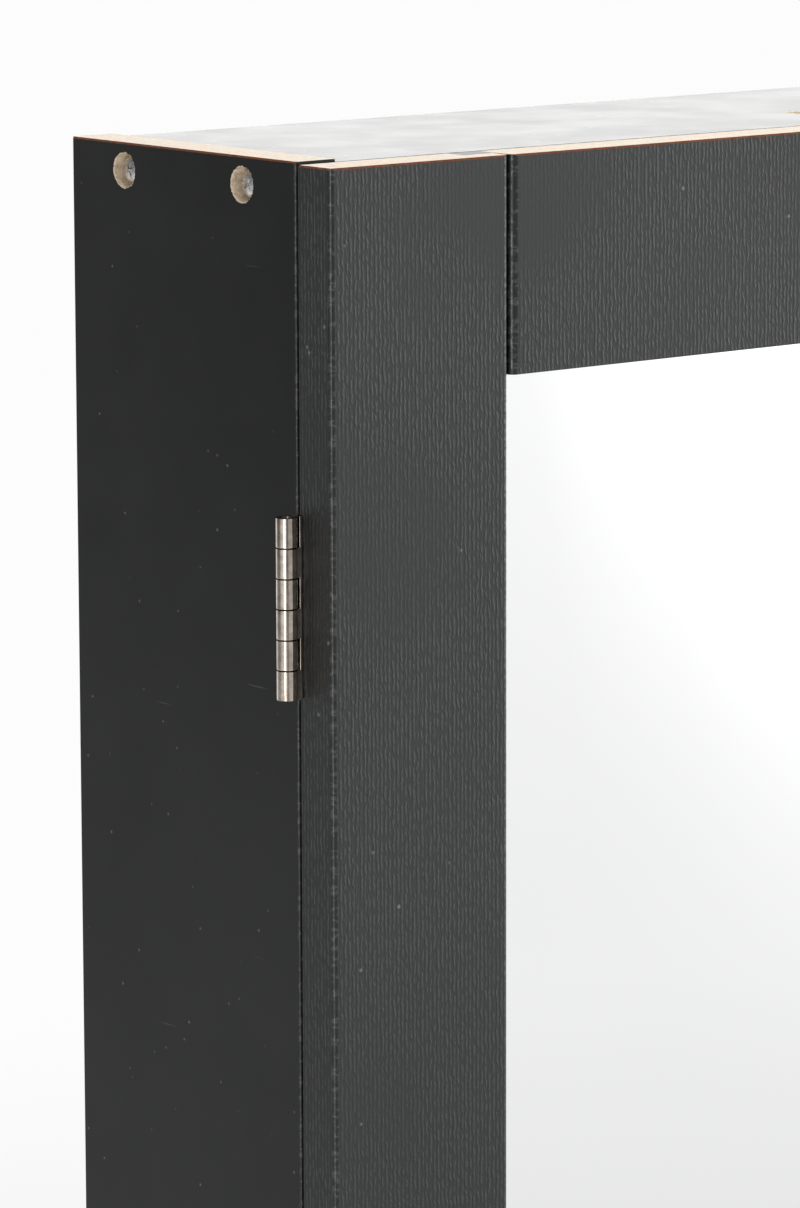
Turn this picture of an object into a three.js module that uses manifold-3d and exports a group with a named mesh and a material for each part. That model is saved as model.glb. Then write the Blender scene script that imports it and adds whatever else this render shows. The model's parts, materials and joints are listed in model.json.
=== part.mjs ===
// A wall-hung jewelry cabinet with a mirror door, in millimetres, +Z up.
// The door faces -Y and is hinged on the left. The origin is the middle of the
// hanging rail's rear face, where the cabinet lies against the wall.

import * as THREE from 'three';
import { mergeVertices } from 'three/addons/utils/BufferGeometryUtils.js';
import Module from 'manifold-3d';

const wasm = await Module();
wasm.setup();

// Carcass
const cabinetWidth = 370;
const cabinetHeight = 1200;
const carcassDepth = 87.2;
const boardThickness = 12;
const boardEdgeRadius = 0.6;
const endInset = 0.7; // the top, the bottom and the door stop this far inside the side panels' ends
const backThickness = 3;
const grooveDepth = 4; // holds the back panel
const hangingRailHeight = 60;
const hangingRailThickness = 12;

// Clearances
const glueGap = 0.1; // between glued or screwed faces
const seatGap = 0.3; // between a piece and the hole, groove or mortise that holds it
const runningGap = 0.3; // between pieces that turn
const past = boardThickness / 4; // how far a cutting tool reaches past the face that it opens

// Door
const doorThickness = 12;
const doorGap = 0.8; // between the door and the carcass
const doorSideInset = 0.2; // the door's edges lie this far inside the side panels' faces
const stileWidth = 52.5;
const railWidth = 52;
const frameEdgeRadius = 1.2;
const rebateWidth = 8;
const mirrorThickness = 3;
const backingThickness = 2.8;
const mirrorEdgeGap = 0.5;
const dowelRadius = 3;
const dowelInStile = 22;
const dowelInRail = 16;

// Hinges
const hingeLength = 43.2;
const hingeEndSetback = 81.4; // from the door's ends to the outer hinges
const knuckleCount = 6;
const knuckleRadius = 2.7;
const knuckleGap = 0.25;
const knuckleClearance = 0.8; // between the knuckles and the side panel's face
const hingePinRadius = 1.3;
const hingePinRecess = 0.4;
const leafReach = 13; // from the pin to the leaf's long edge
const leafThickness = 0.9;
const leafGap = 0.2; // between the two leaves of a closed hinge

// Screws
const panelScrewHeadRadius = 3.7;
const panelScrewHeadHeight = 2;
const panelScrewShankRadius = 1.9;
const panelScrewLength = 34;
const panelScrewFrontSetback = 20.1;
const panelScrewBackSetback = 66.1;
const counterboreRadius = 4.4;
const counterboreDepth = 5;
const dividerScrewSetback = 28;
const smallHeadRadius = 2.2;
const smallHeadHeight = 0.6;
const smallShankRadius = 1.1;
const smallScrewLength = 9;
const smallHeadGap = 0.25;
const sinkOverlap = 0.02; // sinks a small head this far into its plate, so that the two are one body
const panHead = { rim: 0.35, shoulder: 0.8, crown: 0.45 }; // shares of the head's height and radius
const crossSlot = { reach: 0.55, width: 0.24, depth: 0.65 }; // shares of the same

// Shelves
const shelfThickness = 9;
const shelfSetback = 6;
const housingDepth = 4; // of the housings in the side panels that carry the shelves
const necklaceSpaceHeight = 430;
const ringSpaceHeight = 190;
const braceletSpaceHeight = 240;
const dividerThickness = 12;
const ledgeHeight = 22;
const ledgeThickness = 6;

// Fittings for the jewelry
const hookStripHeight = 24;
const hookStripThickness = 9;
const hookStripDrop = 36; // from the top panel down to the strip
const hookStripEndGap = 1;
const hookCount = 6;
const hookWireRadius = 1.2;
const hookReach = 15;
const hookBendRadius = 4;
const hookTipHeight = 10;
const hookTipRadius = 1.9;
const hookFlangeRadius = 4;
const hookFlangeTopRadius = 3.2;
const hookFlangeThickness = 1;
const hookShankLength = 6;
const earringBarHeight = 24;
const earringBarThickness = 6;
const earringBarSetback = 38; // from the carcass front to the bar's face
const earringBarDrops = [110, 250]; // from the top panel down to each bar's upper edge
const earringSlotWidth = 2;
const earringSlotDepth = 14;
const earringSlotPitch = 11;
const barHousingDepth = 3;
const rodRadius = 6;
const rodDrop = 62; // from the shelf above down to the rod's axis
const rodHousingDepth = 6;
const cushionRolls = 6;
const cushionTopGap = 25;
const cushionThickness = 26;
const cushionSideGap = 4;
const cushionGrooveShare = 0.62; // thickness at the grooves, as a share of the full one
const cushionRimShare = 0.12; // and at the rims
const cushionColumns = 14;
const cushionRowsPerRoll = 6;

// Magnetic catch
const catchHeight = 46;
const catchWidth = 12;
const catchDepth = 18;
const catchBlockHeight = 28;
const catchFlangeThickness = 3;
const catchFlangeInset = 2;
const catchDrop = 55; // from the top panel down to the catch's middle
const strikeHeight = 40;
const strikeThickness = 1.2;
const strikeCornerCut = 2;

// Lock
const lockPlugRadius = 5.2;
const lockBarrelWall = 2.5;
const lockBarrelBehind = 9; // how far the barrel stands out behind the door
const lockFlangeOverhang = 2.5;
const lockFlangeChamfer = 1.3;
const lockFlangeThickness = 1.8;
const keywayWidth = 1.6;
const keywayHeight = 6.6;
const keywayDepth = 8;
const lockNutWall = 2.4; // at the middle of its flats
const lockNutThickness = 3;
const lockNutClearance = 2; // between the nut's corner and the side panel
const plugSquare = 6;
const camThickness = 1.6;
const camBite = 6.6; // how far the turned cam reaches into the side panel
const camHubRadius = 6.5;
const camTipRadius = 4.5;
const camScrewHeadRadius = 3.6;
const camScrewHeadHeight = 1.8;
const camScrewShankRadius = 1.5;
const camScrewLength = 6;
const camPocketGap = 1.4;

// Wall hanging
const hangerInset = 65; // from the cabinet's side to each keyhole
const hangerPlateWidth = 18;
const hangerPlateHeight = 46;
const hangerPlateThickness = 1.2;
const hangerPlateCornerRadius = 2;
const keyholeEntryRadius = 5;
const keyholeSlotRadius = 2.5;
const keyholeTravel = 11;
const keyholePocketDepth = 6;
const keyholePocketGap = 1; // around the keyhole
const hangerScrewSpread = 36;

// How round the turned pieces are
const bigSides = 24;
const barrelSides = 16;
const screwSides = 12;
const smallSides = 8;
const edgeSegments = 2;
const weldDistance = 1e-4; // vertices closer than this are one

// Planes that several pieces share
const sideX = cabinetWidth / 2;
const innerX = sideX - boardThickness;
const frontY = -carcassDepth;
const ceilingZ = hangingRailHeight / 2 + glueGap;
const panelTopZ = ceilingZ + boardThickness;
const sideTopZ = panelTopZ + endInset;
const sideBottomZ = sideTopZ - cabinetHeight;
const panelBottomZ = sideBottomZ + endInset;
const floorZ = panelBottomZ + boardThickness;
const backRearY = -hangingRailThickness - glueGap;
const backFrontY = backRearY - backThickness;
const panelScrewRows = [ceilingZ + boardThickness / 2, floorZ - boardThickness / 2];
const panelScrewColumns = [frontY + panelScrewFrontSetback, frontY + panelScrewBackSetback];
const dividerScrewY = frontY + dividerScrewSetback;

const doorBackY = frontY - doorGap;
const doorFrontY = doorBackY - doorThickness;
const doorHalfWidth = sideX - doorSideInset;
const doorTopZ = panelTopZ;
const doorBottomZ = panelBottomZ;
const doorHeight = doorTopZ - doorBottomZ;
const frameLip = doorThickness - mirrorThickness - backingThickness - 2 * glueGap; // in front of the mirror
const coreWidth = { stile: stileWidth - rebateWidth, rail: railWidth - rebateWidth };

const hingeX = -sideX - knuckleClearance - knuckleRadius;
const hingeY = frontY - doorGap / 2;
const hingeBottoms = {
  top: doorTopZ - hingeEndSetback - hingeLength,
  middle: (doorTopZ + doorBottomZ - hingeLength) / 2,
  bottom: doorBottomZ + hingeEndSetback,
};

const shelfFrontY = frontY + shelfSetback;
const shelfBackY = backFrontY - glueGap;
const shelfTops = {
  upper: ceilingZ - necklaceSpaceHeight,
  middle: ceilingZ - necklaceSpaceHeight - shelfThickness - ringSpaceHeight,
  lower: ceilingZ - necklaceSpaceHeight - ringSpaceHeight - braceletSpaceHeight - 2 * shelfThickness,
};
const rodZ = shelfTops.middle - shelfThickness - rodDrop;
const rodY = (shelfFrontY + shelfBackY) / 2;
const earringBarY = frontY + earringBarSetback;

const lockBarrelRadius = lockPlugRadius + runningGap + lockBarrelWall;
const lockFlangeRadius = lockBarrelRadius + lockFlangeOverhang;
const lockNutRadius = (lockBarrelRadius + seatGap + lockNutWall) / Math.cos(Math.PI / 6);
const lockX = innerX - lockNutClearance - lockNutRadius;
const camReach = innerX - lockX + camBite;
const lockZ = shelfTops.upper - shelfThickness - ringSpaceHeight / 2;
const lockBarrelEndY = doorBackY + lockBarrelBehind;
const camFrontY = lockBarrelEndY + runningGap;
const camBackY = camFrontY + camThickness;

// Materials
const foil = { color: 0x2a2c2c, roughness: 0.42, metalness: 0 };
const grainedFoil = { color: 0x454747, roughness: 0.5, metalness: 0 };
const velvet = { color: 0x17171a, roughness: 0.95, metalness: 0 };
const nickel = { color: 0xb9b2a8, roughness: 0.22, metalness: 1 };
const zinc = { color: 0xc4c6c8, roughness: 0.3, metalness: 1 };
const mirror = { color: 0xf2f4f4, roughness: 0.02, metalness: 1 };
const beech = { color: 0xc9a26f, roughness: 0.55, metalness: 0 };
const plastic = { color: 0x1c1c1d, roughness: 0.4, metalness: 0 };

// Geometry helpers

function solidFrom(geometry) {
  const bare = geometry.clone();
  bare.deleteAttribute('normal');
  bare.deleteAttribute('uv');
  const merged = mergeVertices(bare, weldDistance);
  return new wasm.Manifold(new wasm.Mesh({
    numProp: 3,
    vertProperties: merged.attributes.position.array,
    triVerts: new Uint32Array(merged.index.array),
  }));
}

function geometryFrom(solid) {
  const mesh = solid.getMesh();
  const geometry = new THREE.BufferGeometry();
  geometry.setAttribute('position', new THREE.BufferAttribute(new Float32Array(mesh.vertProperties), 3));
  geometry.setIndex(new THREE.BufferAttribute(new Uint32Array(mesh.triVerts), 1));
  const faceted = geometry.toNonIndexed();
  faceted.computeVertexNormals();
  return faceted;
}

function cut(geometry, tools) {
  let solid = solidFrom(geometry);
  for (const tool of tools) {
    solid = solid.subtract(solidFrom(tool));
  }
  return geometryFrom(solid);
}

function join(geometries) {
  let solid = solidFrom(geometries[0]);
  for (const geometry of geometries.slice(1)) {
    solid = solid.add(solidFrom(geometry));
  }
  return geometryFrom(solid);
}

// A box between two corners, given in any order.
function block(cornerA, cornerB) {
  const low = new THREE.Vector3(...cornerA).min(new THREE.Vector3(...cornerB));
  const high = new THREE.Vector3(...cornerA).max(new THREE.Vector3(...cornerB));
  const size = high.clone().sub(low);
  const middle = high.add(low).multiplyScalar(0.5);
  return new THREE.BoxGeometry(size.x, size.y, size.z).translate(middle.x, middle.y, middle.z);
}

// A turned piece on the Z axis between two heights.
function rod(radius, fromZ, toZ, sides) {
  const height = toZ - fromZ;
  return new THREE.CylinderGeometry(radius, radius, height, sides)
    .rotateX(Math.PI / 2)
    .translate(0, 0, fromZ + height / 2);
}

// A flat shape drawn out along Z.
function drawnOut(shape, depth, curveSegments) {
  return new THREE.ExtrudeGeometry(shape, { depth, bevelEnabled: false, curveSegments });
}

const xAxis = new THREE.Vector3(1, 0, 0);
const yAxis = new THREE.Vector3(0, 1, 0);
const zAxis = new THREE.Vector3(0, 0, 1);

// Turns a geometry that points along +Z so that it points another way, then moves it.
const turns = {
  '+x': (g) => g.rotateY(Math.PI / 2),
  '-x': (g) => g.rotateY(-Math.PI / 2),
  '+y': (g) => g.rotateX(-Math.PI / 2),
  '-y': (g) => g.rotateX(Math.PI / 2),
  '+z': (g) => g,
  '-z': (g) => g.rotateX(Math.PI),
};

function aim(geometry, direction, at) {
  return turns[direction](geometry).translate(...at);
}

function roundedRectangle(width, height, radius) {
  const x = width / 2 - radius;
  const y = height / 2 - radius;
  const shape = new THREE.Shape();
  shape.absarc(x, y, radius, 0, Math.PI / 2);
  shape.absarc(-x, y, radius, Math.PI / 2, Math.PI);
  shape.absarc(-x, -y, radius, Math.PI, 1.5 * Math.PI);
  shape.absarc(x, -y, radius, 1.5 * Math.PI, 2 * Math.PI);
  return shape;
}

// A board between two corners, with its four long edges eased.
function board(low, high, along, radius) {
  const size = high.map((value, i) => value - low[i]);
  const middle = high.map((value, i) => (value + low[i]) / 2);
  const axes = { x: [1, 2, 0], z: [0, 1, 2] }[along];
  const shape = roundedRectangle(size[axes[0]], size[axes[1]], radius);
  const depth = size[axes[2]];
  const geometry = drawnOut(shape, depth, edgeSegments).translate(0, 0, -depth / 2);
  if (along === 'x') {
    geometry.applyMatrix4(new THREE.Matrix4().makeBasis(yAxis, zAxis, xAxis));
  }
  return geometry.translate(...middle);
}

// A mesh whose own origin is the middle of its geometry.
function piece(name, geometry, look) {
  geometry.computeBoundingBox();
  const middle = geometry.boundingBox.getCenter(new THREE.Vector3());
  geometry.translate(-middle.x, -middle.y, -middle.z);
  const mesh = new THREE.Mesh(geometry, new THREE.MeshStandardMaterial(look));
  mesh.name = name;
  mesh.position.copy(middle);
  return mesh;
}

// Screws: each points its head along +Z, with the top of the head at 0.

function crossRecess(armLength, armWidth, depth) {
  const long = block([-armLength, -armWidth / 2, -depth], [armLength, armWidth / 2, depth]);
  const short = block([-armWidth / 2, -armLength, -depth], [armWidth / 2, armLength, depth]);
  return [long, short];
}

function panHeadScrew(headRadius, headHeight, shankRadius, length) {
  const rim = headHeight * panHead.rim;
  const profile = [
    [0, -length],
    [shankRadius, -length + 2 * shankRadius],
    [shankRadius, -headHeight],
    [headRadius, -headHeight],
    [headRadius, -headHeight + rim],
    [headRadius * panHead.shoulder, -rim / 2],
    [headRadius * panHead.crown, 0],
    [0, 0],
  ];
  const points = profile.map(([radius, height]) => new THREE.Vector2(radius, height));
  const turned = new THREE.LatheGeometry(points, screwSides).rotateX(Math.PI / 2);
  return cut(turned, crossRecess(
    headRadius * crossSlot.reach, headRadius * crossSlot.width, headHeight * crossSlot.depth));
}

function panelScrew(name, direction, at) {
  const screw = panHeadScrew(
    panelScrewHeadRadius, panelScrewHeadHeight, panelScrewShankRadius, panelScrewLength);
  return piece(name, aim(screw, direction, at), zinc);
}

const panelScrewHeadTop = counterboreDepth - panelScrewHeadHeight - seatGap; // below the face

// The counterbore and the hole for a panel screw that enters a face from outside.
function panelScrewHoles(direction, at, outDepth) {
  const counterbore = rod(counterboreRadius, -counterboreDepth, past, bigSides);
  const hole = rod(panelScrewShankRadius + seatGap, -outDepth - past, past, smallSides);
  return [aim(counterbore, direction, at), aim(hole, direction, at)];
}

// The hole for the part of a panel screw that goes on into the next board.
function panelScrewPilot(direction, at) {
  const end = panelScrewHeadTop + panelScrewLength + seatGap;
  return aim(rod(panelScrewShankRadius + seatGap, -end, 0, smallSides), direction, at);
}

// Sinks small screws into a plate, as one body with it: a countersink, the head in it and the shank.
function withSmallScrews(plate, direction, places) {
  const cone = (topRadius, bottomRadius, height, middleZ) =>
    new THREE.CylinderGeometry(topRadius, bottomRadius, height, smallSides)
      .rotateX(Math.PI / 2).translate(0, 0, middleZ);
  const flare = smallHeadRadius - smallShankRadius;
  const atEach = (make) => places.map((at) => aim(make(), direction, at));
  const sinks = atEach(() => cone(
    smallHeadRadius + flare + smallHeadGap, smallShankRadius + smallHeadGap, 2 * smallHeadHeight, 0));
  const heads = atEach(() => cone(
    smallHeadRadius, smallShankRadius, smallHeadHeight, -smallHeadHeight / 2 - sinkOverlap));
  const shanks = atEach(() => rod(smallShankRadius, -smallScrewLength, -smallHeadHeight, smallSides));
  return join([cut(plate, sinks), ...heads, ...shanks]);
}

function smallScrewPilot(direction, at) {
  return aim(rod(smallShankRadius + seatGap, -smallScrewLength - seatGap, past, smallSides), direction, at);
}

// Carcass

function hingeMortise(bottomZ, backward) {
  const depth = leafGap / 2 + leafThickness + glueGap;
  const x = [hingeX - past, hingeX + leafReach + seatGap];
  const y = backward ? [hingeY, hingeY + depth] : [hingeY - depth, hingeY];
  return block([x[0], y[0], bottomZ - seatGap], [x[1], y[1], bottomZ + hingeLength + seatGap]);
}

const leafScrewX = hingeX + (knuckleRadius + leafReach) / 2;
const leafScrewShares = [0.2, 0.8];

function leafPilots(bottomZ, direction) {
  const faceY = direction === '-y' ? hingeY + leafGap / 2 : hingeY - leafGap / 2;
  return leafScrewShares.map((share) =>
    smallScrewPilot(direction, [leafScrewX, faceY, bottomZ + share * hingeLength]));
}

const housingTop = (shelfTop) => shelfTop + glueGap;
const housingBottom = (shelfTop) => shelfTop - shelfThickness - glueGap;
const earringBarEnds = [dividerThickness / 2 - barHousingDepth, innerX + barHousingDepth];

function earringBarHousing(fromX, toX, drop) {
  const topZ = ceilingZ - drop;
  return block(
    [fromX, earringBarY - glueGap, topZ - earringBarHeight - glueGap],
    [toX, earringBarY + earringBarThickness + glueGap, topZ + glueGap]);
}

// The pocket that the lock's cam turns into.
function camPocket() {
  const toPanel = innerX - lockX;
  const tipReach = Math.hypot(camReach, camTipRadius);
  const sweep = tipReach > toPanel ? Math.sqrt(tipReach ** 2 - toPanel ** 2) : 0;
  return block(
    [innerX - past, camFrontY - camPocketGap, lockZ - sweep - camPocketGap],
    [lockX + camReach + camPocketGap, camBackY + camPocketGap, lockZ + camTipRadius + camPocketGap]);
}

const catchZ = ceilingZ - catchDrop;
const catchFrontY = doorBackY + glueGap + strikeThickness + seatGap;
const catchScrewSpread = (catchHeight + catchBlockHeight) / 2;
const catchScrewY = catchFrontY + catchDepth / 2;
const catchScrewPlaces = [-1, 1].map((end) =>
  [innerX - glueGap - catchFlangeThickness, catchScrewY, catchZ + (end * catchScrewSpread) / 2]);

function sidePanel(name, side) {
  const outer = side * sideX;
  const inner = side * innerX;
  const outward = side > 0 ? '+x' : '-x';
  const tools = [block(
    [inner - side * past, backFrontY - glueGap, floorZ - grooveDepth],
    [inner + side * grooveDepth, backRearY + glueGap, ceilingZ + grooveDepth])];
  for (const z of panelScrewRows) {
    for (const y of panelScrewColumns) {
      tools.push(...panelScrewHoles(outward, [outer, y, z], boardThickness));
    }
  }
  for (const top of Object.values(shelfTops)) {
    tools.push(block(
      [inner - side * past, shelfFrontY - glueGap, housingBottom(top)],
      [inner + side * housingDepth, backFrontY, housingTop(top)]));
  }
  tools.push(aim(
    rod(rodRadius + seatGap, -past, rodHousingDepth + seatGap, barrelSides), outward, [inner, rodY, rodZ]));
  if (side < 0) {
    for (const bottomZ of Object.values(hingeBottoms)) {
      tools.push(hingeMortise(bottomZ, true), ...leafPilots(bottomZ, '-y'));
    }
  } else {
    for (const drop of earringBarDrops) {
      tools.push(earringBarHousing(inner - past, inner + barHousingDepth + seatGap, drop));
    }
    tools.push(camPocket());
    tools.push(...catchScrewPlaces.map((at) => smallScrewPilot('-x', at)));
  }
  const low = [Math.min(outer, inner), frontY, sideBottomZ];
  const high = [Math.max(outer, inner), 0, sideTopZ];
  return piece(name, cut(board(low, high, 'z', boardEdgeRadius), tools), foil);
}

function endPanel(name, insideZ, up) {
  const outsideZ = insideZ + up * boardThickness;
  const rowZ = insideZ + (up * boardThickness) / 2;
  const endX = innerX - glueGap;
  const tools = [block(
    [-sideX, backFrontY - glueGap, insideZ - up * past],
    [sideX, backRearY + glueGap, insideZ + up * grooveDepth])];
  for (const side of [-1, 1]) {
    for (const y of panelScrewColumns) {
      tools.push(panelScrewPilot(side > 0 ? '+x' : '-x', [side * sideX, y, rowZ]));
    }
  }
  if (up > 0) {
    tools.push(...panelScrewHoles('+z', [0, dividerScrewY, outsideZ], boardThickness));
  }
  const low = [-endX, frontY, Math.min(insideZ, outsideZ)];
  const high = [endX, 0, Math.max(insideZ, outsideZ)];
  return piece(name, cut(board(low, high, 'x', boardEdgeRadius), tools), foil);
}

function backPanel() {
  const inGroove = grooveDepth - seatGap;
  return piece('back_panel', block(
    [-innerX - inGroove, backFrontY, floorZ - inGroove],
    [innerX + inGroove, backRearY, ceilingZ + inGroove]), velvet);
}

const hangerXs = { left: hangerInset - sideX, right: sideX - hangerInset };
const hangerScrewHeights = [-hangerScrewSpread / 2, hangerScrewSpread / 2];

function hangingRail() {
  const tools = [];
  for (const x of Object.values(hangerXs)) {
    const halfWidth = hangerPlateWidth / 2 + glueGap;
    const halfHeight = hangerPlateHeight / 2 + glueGap;
    const pocketHalf = keyholeEntryRadius + keyholePocketGap;
    tools.push(block(
      [x - halfWidth, past, -halfHeight],
      [x + halfWidth, -hangerPlateThickness - glueGap, halfHeight]));
    tools.push(block(
      [x - pocketHalf, past, -keyholeTravel / 2 - pocketHalf],
      [x + pocketHalf, -hangerPlateThickness - keyholePocketDepth, keyholeTravel / 2 + pocketHalf]));
    tools.push(...hangerScrewHeights.map((z) => smallScrewPilot('+y', [x, 0, z])));
  }
  const endX = innerX - glueGap;
  const half = hangingRailHeight / 2;
  const rail = board([-endX, -hangingRailThickness, -half], [endX, 0, half], 'x', boardEdgeRadius);
  return piece('hanging_rail', cut(rail, tools), foil);
}

function hangerPlate(name, x) {
  const outline = roundedRectangle(hangerPlateWidth, hangerPlateHeight, hangerPlateCornerRadius);
  const plate = drawnOut(outline, hangerPlateThickness, edgeSegments);
  const low = -keyholeTravel / 2;
  const high = keyholeTravel / 2;
  const above = hangerPlateThickness + past;
  const entry = rod(keyholeEntryRadius, -past, above, bigSides).translate(0, low, 0);
  const slotEnd = rod(keyholeSlotRadius, -past, above, bigSides).translate(0, high, 0);
  const slot = block([-keyholeSlotRadius, low, -past], [keyholeSlotRadius, high, above]);
  const flat = cut(plate, [entry, slotEnd, slot]).translate(0, 0, -hangerPlateThickness);
  // Local +Z is the wall side. Turned to +Y, local Y becomes -Z, so the plate is flipped first.
  flat.rotateZ(Math.PI);
  const standing = aim(flat, '+y', [x, 0, 0]);
  return piece(name, withSmallScrews(standing, '+y', hangerScrewHeights.map((z) => [x, 0, z])), zinc);
}

// Shelves and dividers

function shelf(name, topZ) {
  const endX = innerX + housingDepth - seatGap;
  return piece(name, board(
    [-endX, shelfFrontY, topZ - shelfThickness], [endX, shelfBackY, topZ], 'x', boardEdgeRadius), foil);
}

function centerDivider() {
  const half = dividerThickness / 2;
  const topZ = ceilingZ - glueGap;
  const tools = earringBarDrops.map((drop) =>
    earringBarHousing(earringBarEnds[0] - seatGap, half + past, drop));
  tools.push(panelScrewPilot('+z', [0, dividerScrewY, panelTopZ]));
  const panel = board(
    [-half, shelfFrontY, shelfTops.upper + glueGap], [half, shelfBackY, topZ], 'z', boardEdgeRadius);
  return piece('center_divider', cut(panel, tools), foil);
}

function ledge(name, standsOnZ) {
  const endX = innerX - glueGap;
  const bottomZ = standsOnZ + glueGap;
  return piece(name, board(
    [-endX, shelfFrontY, bottomZ],
    [endX, shelfFrontY + ledgeThickness, bottomZ + ledgeHeight], 'x', boardEdgeRadius), foil);
}

// Fittings for the jewelry

const stripFaceY = backFrontY - glueGap - hookStripThickness;
const stripEnds = [-innerX + hookStripEndGap, -dividerThickness / 2 - hookStripEndGap];
const stripTopZ = ceilingZ - hookStripDrop;
const hookZ = stripTopZ - hookStripHeight / 2;
const hookPitch = (stripEnds[1] - stripEnds[0]) / hookCount;
const hookXs = Array.from({ length: hookCount }, (_, i) => stripEnds[0] + (i + 0.5) * hookPitch);

function hookStrip() {
  const strip = board(
    [stripEnds[0], stripFaceY, stripTopZ - hookStripHeight],
    [stripEnds[1], backFrontY - glueGap, stripTopZ], 'x', boardEdgeRadius);
  const holes = hookXs.map((x) => aim(
    rod(hookWireRadius + seatGap, -hookShankLength - seatGap, past, smallSides),
    '-y', [x, stripFaceY, hookZ]));
  return piece('hook_strip', cut(strip, holes), foil);
}

// A hook in its own frame: the strip's face is the plane Y = 0 and the hook reaches out to -Y.
function hookGeometry() {
  const path = new THREE.CurvePath();
  const corner = -hookReach + hookBendRadius;
  const bend = [];
  const bendSteps = 4;
  for (let step = 0; step <= bendSteps; step += 1) {
    const angle = (step / bendSteps) * (Math.PI / 2);
    bend.push(new THREE.Vector3(
      0, corner - hookBendRadius * Math.sin(angle), hookBendRadius * (1 - Math.cos(angle))));
  }
  const points = [
    new THREE.Vector3(0, hookShankLength, 0),
    ...bend,
    new THREE.Vector3(0, -hookReach, hookTipHeight),
  ];
  for (let i = 1; i < points.length; i += 1) {
    path.add(new THREE.LineCurve3(points[i - 1], points[i]));
  }
  const section = new THREE.Shape();
  section.absarc(0, 0, hookWireRadius, 0, 2 * Math.PI);
  const wire = new THREE.ExtrudeGeometry(section, { steps: 14, curveSegments: 3, extrudePath: path });
  const tip = new THREE.SphereGeometry(hookTipRadius, smallSides, smallSides / 2 + 1)
    .translate(0, -hookReach, hookTipHeight);
  const flange = aim(
    new THREE.CylinderGeometry(hookFlangeTopRadius, hookFlangeRadius, hookFlangeThickness, smallSides)
      .rotateX(Math.PI / 2).translate(0, 0, hookFlangeThickness / 2), '-y', [0, -glueGap, 0]);
  return join([wire, tip, flange]);
}

function necklaceHooks() {
  const shared = hookGeometry();
  return hookXs.map((x, i) => {
    const mesh = new THREE.Mesh(shared, new THREE.MeshStandardMaterial(nickel));
    mesh.name = `necklace_hook_${i + 1}`;
    mesh.position.set(x, stripFaceY, hookZ);
    return mesh;
  });
}

function earringBar(name, drop) {
  const topZ = ceilingZ - drop;
  const [left, right] = earringBarEnds;
  const bar = block(
    [left, earringBarY, topZ - earringBarHeight],
    [right, earringBarY + earringBarThickness, topZ]);
  const span = innerX - dividerThickness / 2;
  const slotCount = Math.floor(span / earringSlotPitch) - 1;
  const firstX = dividerThickness / 2 + (span - (slotCount - 1) * earringSlotPitch) / 2;
  const slots = Array.from({ length: slotCount }, (_, i) => {
    const x = firstX + i * earringSlotPitch;
    return block(
      [x - earringSlotWidth / 2, earringBarY - past, topZ - earringSlotDepth],
      [x + earringSlotWidth / 2, earringBarY + earringBarThickness + past, topZ + past]);
  });
  return piece(name, cut(bar, slots), foil);
}

function braceletRod() {
  const end = innerX + rodHousingDepth;
  return piece('bracelet_rod', aim(rod(rodRadius, -end, end, barrelSides), '+x', [0, rodY, rodZ]), foil);
}

// Stacked rolls on a flat back: the front swells over each roll and the ends are drawn in.
function ringCushion() {
  const halfWidth = innerX - cushionSideGap;
  const bottomZ = shelfTops.middle + seatGap;
  const backY = backFrontY - seatGap;
  const height = ringSpaceHeight - cushionTopGap;
  const columns = cushionColumns;
  const rows = cushionRolls * cushionRowsPerRoll;
  const positions = [];
  for (let row = 0; row <= rows; row += 1) {
    for (let column = 0; column <= columns; column += 1) {
      const across = (2 * column) / columns - 1;
      const inRoll = (row / cushionRowsPerRoll) % 1;
      const swell = Math.sqrt(1 - (2 * inRoll - 1) ** 2);
      const atRim = row === 0 || row === rows;
      const roll = atRim ? cushionRimShare : cushionGrooveShare + (1 - cushionGrooveShare) * swell;
      const drawnIn = cushionRimShare + (1 - cushionRimShare) * Math.sqrt(1 - across ** 6);
      positions.push([
        halfWidth * Math.sin((across * Math.PI) / 2),
        backY - cushionThickness * roll * drawnIn,
        bottomZ + (row / rows) * height,
      ]);
    }
  }
  const at = (column, row) => row * (columns + 1) + column;
  const triangles = [];
  const rim = [];
  for (let row = 0; row < rows; row += 1) {
    for (let column = 0; column < columns; column += 1) {
      const [a, b] = [at(column, row), at(column + 1, row)];
      const [c, d] = [at(column + 1, row + 1), at(column, row + 1)];
      triangles.push(a, b, c, a, c, d);
    }
  }
  for (let column = 0; column < columns; column += 1) rim.push(at(column, 0));
  for (let row = 0; row < rows; row += 1) rim.push(at(columns, row));
  for (let column = columns; column > 0; column -= 1) rim.push(at(column, rows));
  for (let row = rows; row > 0; row -= 1) rim.push(at(0, row));
  const firstBehind = positions.length;
  rim.forEach((index) => positions.push([positions[index][0], backY, positions[index][2]]));
  const backMiddle = positions.length;
  positions.push([0, backY, bottomZ + height / 2]);
  rim.forEach((a, i) => {
    const next = (i + 1) % rim.length;
    const b = rim[next];
    const [behindA, behindB] = [firstBehind + i, firstBehind + next];
    triangles.push(b, a, behindA, b, behindA, behindB);
    triangles.push(behindB, behindA, backMiddle);
  });
  const geometry = new THREE.BufferGeometry();
  geometry.setAttribute('position', new THREE.BufferAttribute(new Float32Array(positions.flat()), 3));
  geometry.setIndex(triangles);
  geometry.computeVertexNormals();
  return piece('ring_cushion', geometry, velvet);
}

// Door frame: each member lies along +Z of its own frame, its outer edge at X = 0 and its face at Y = 0.

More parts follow.
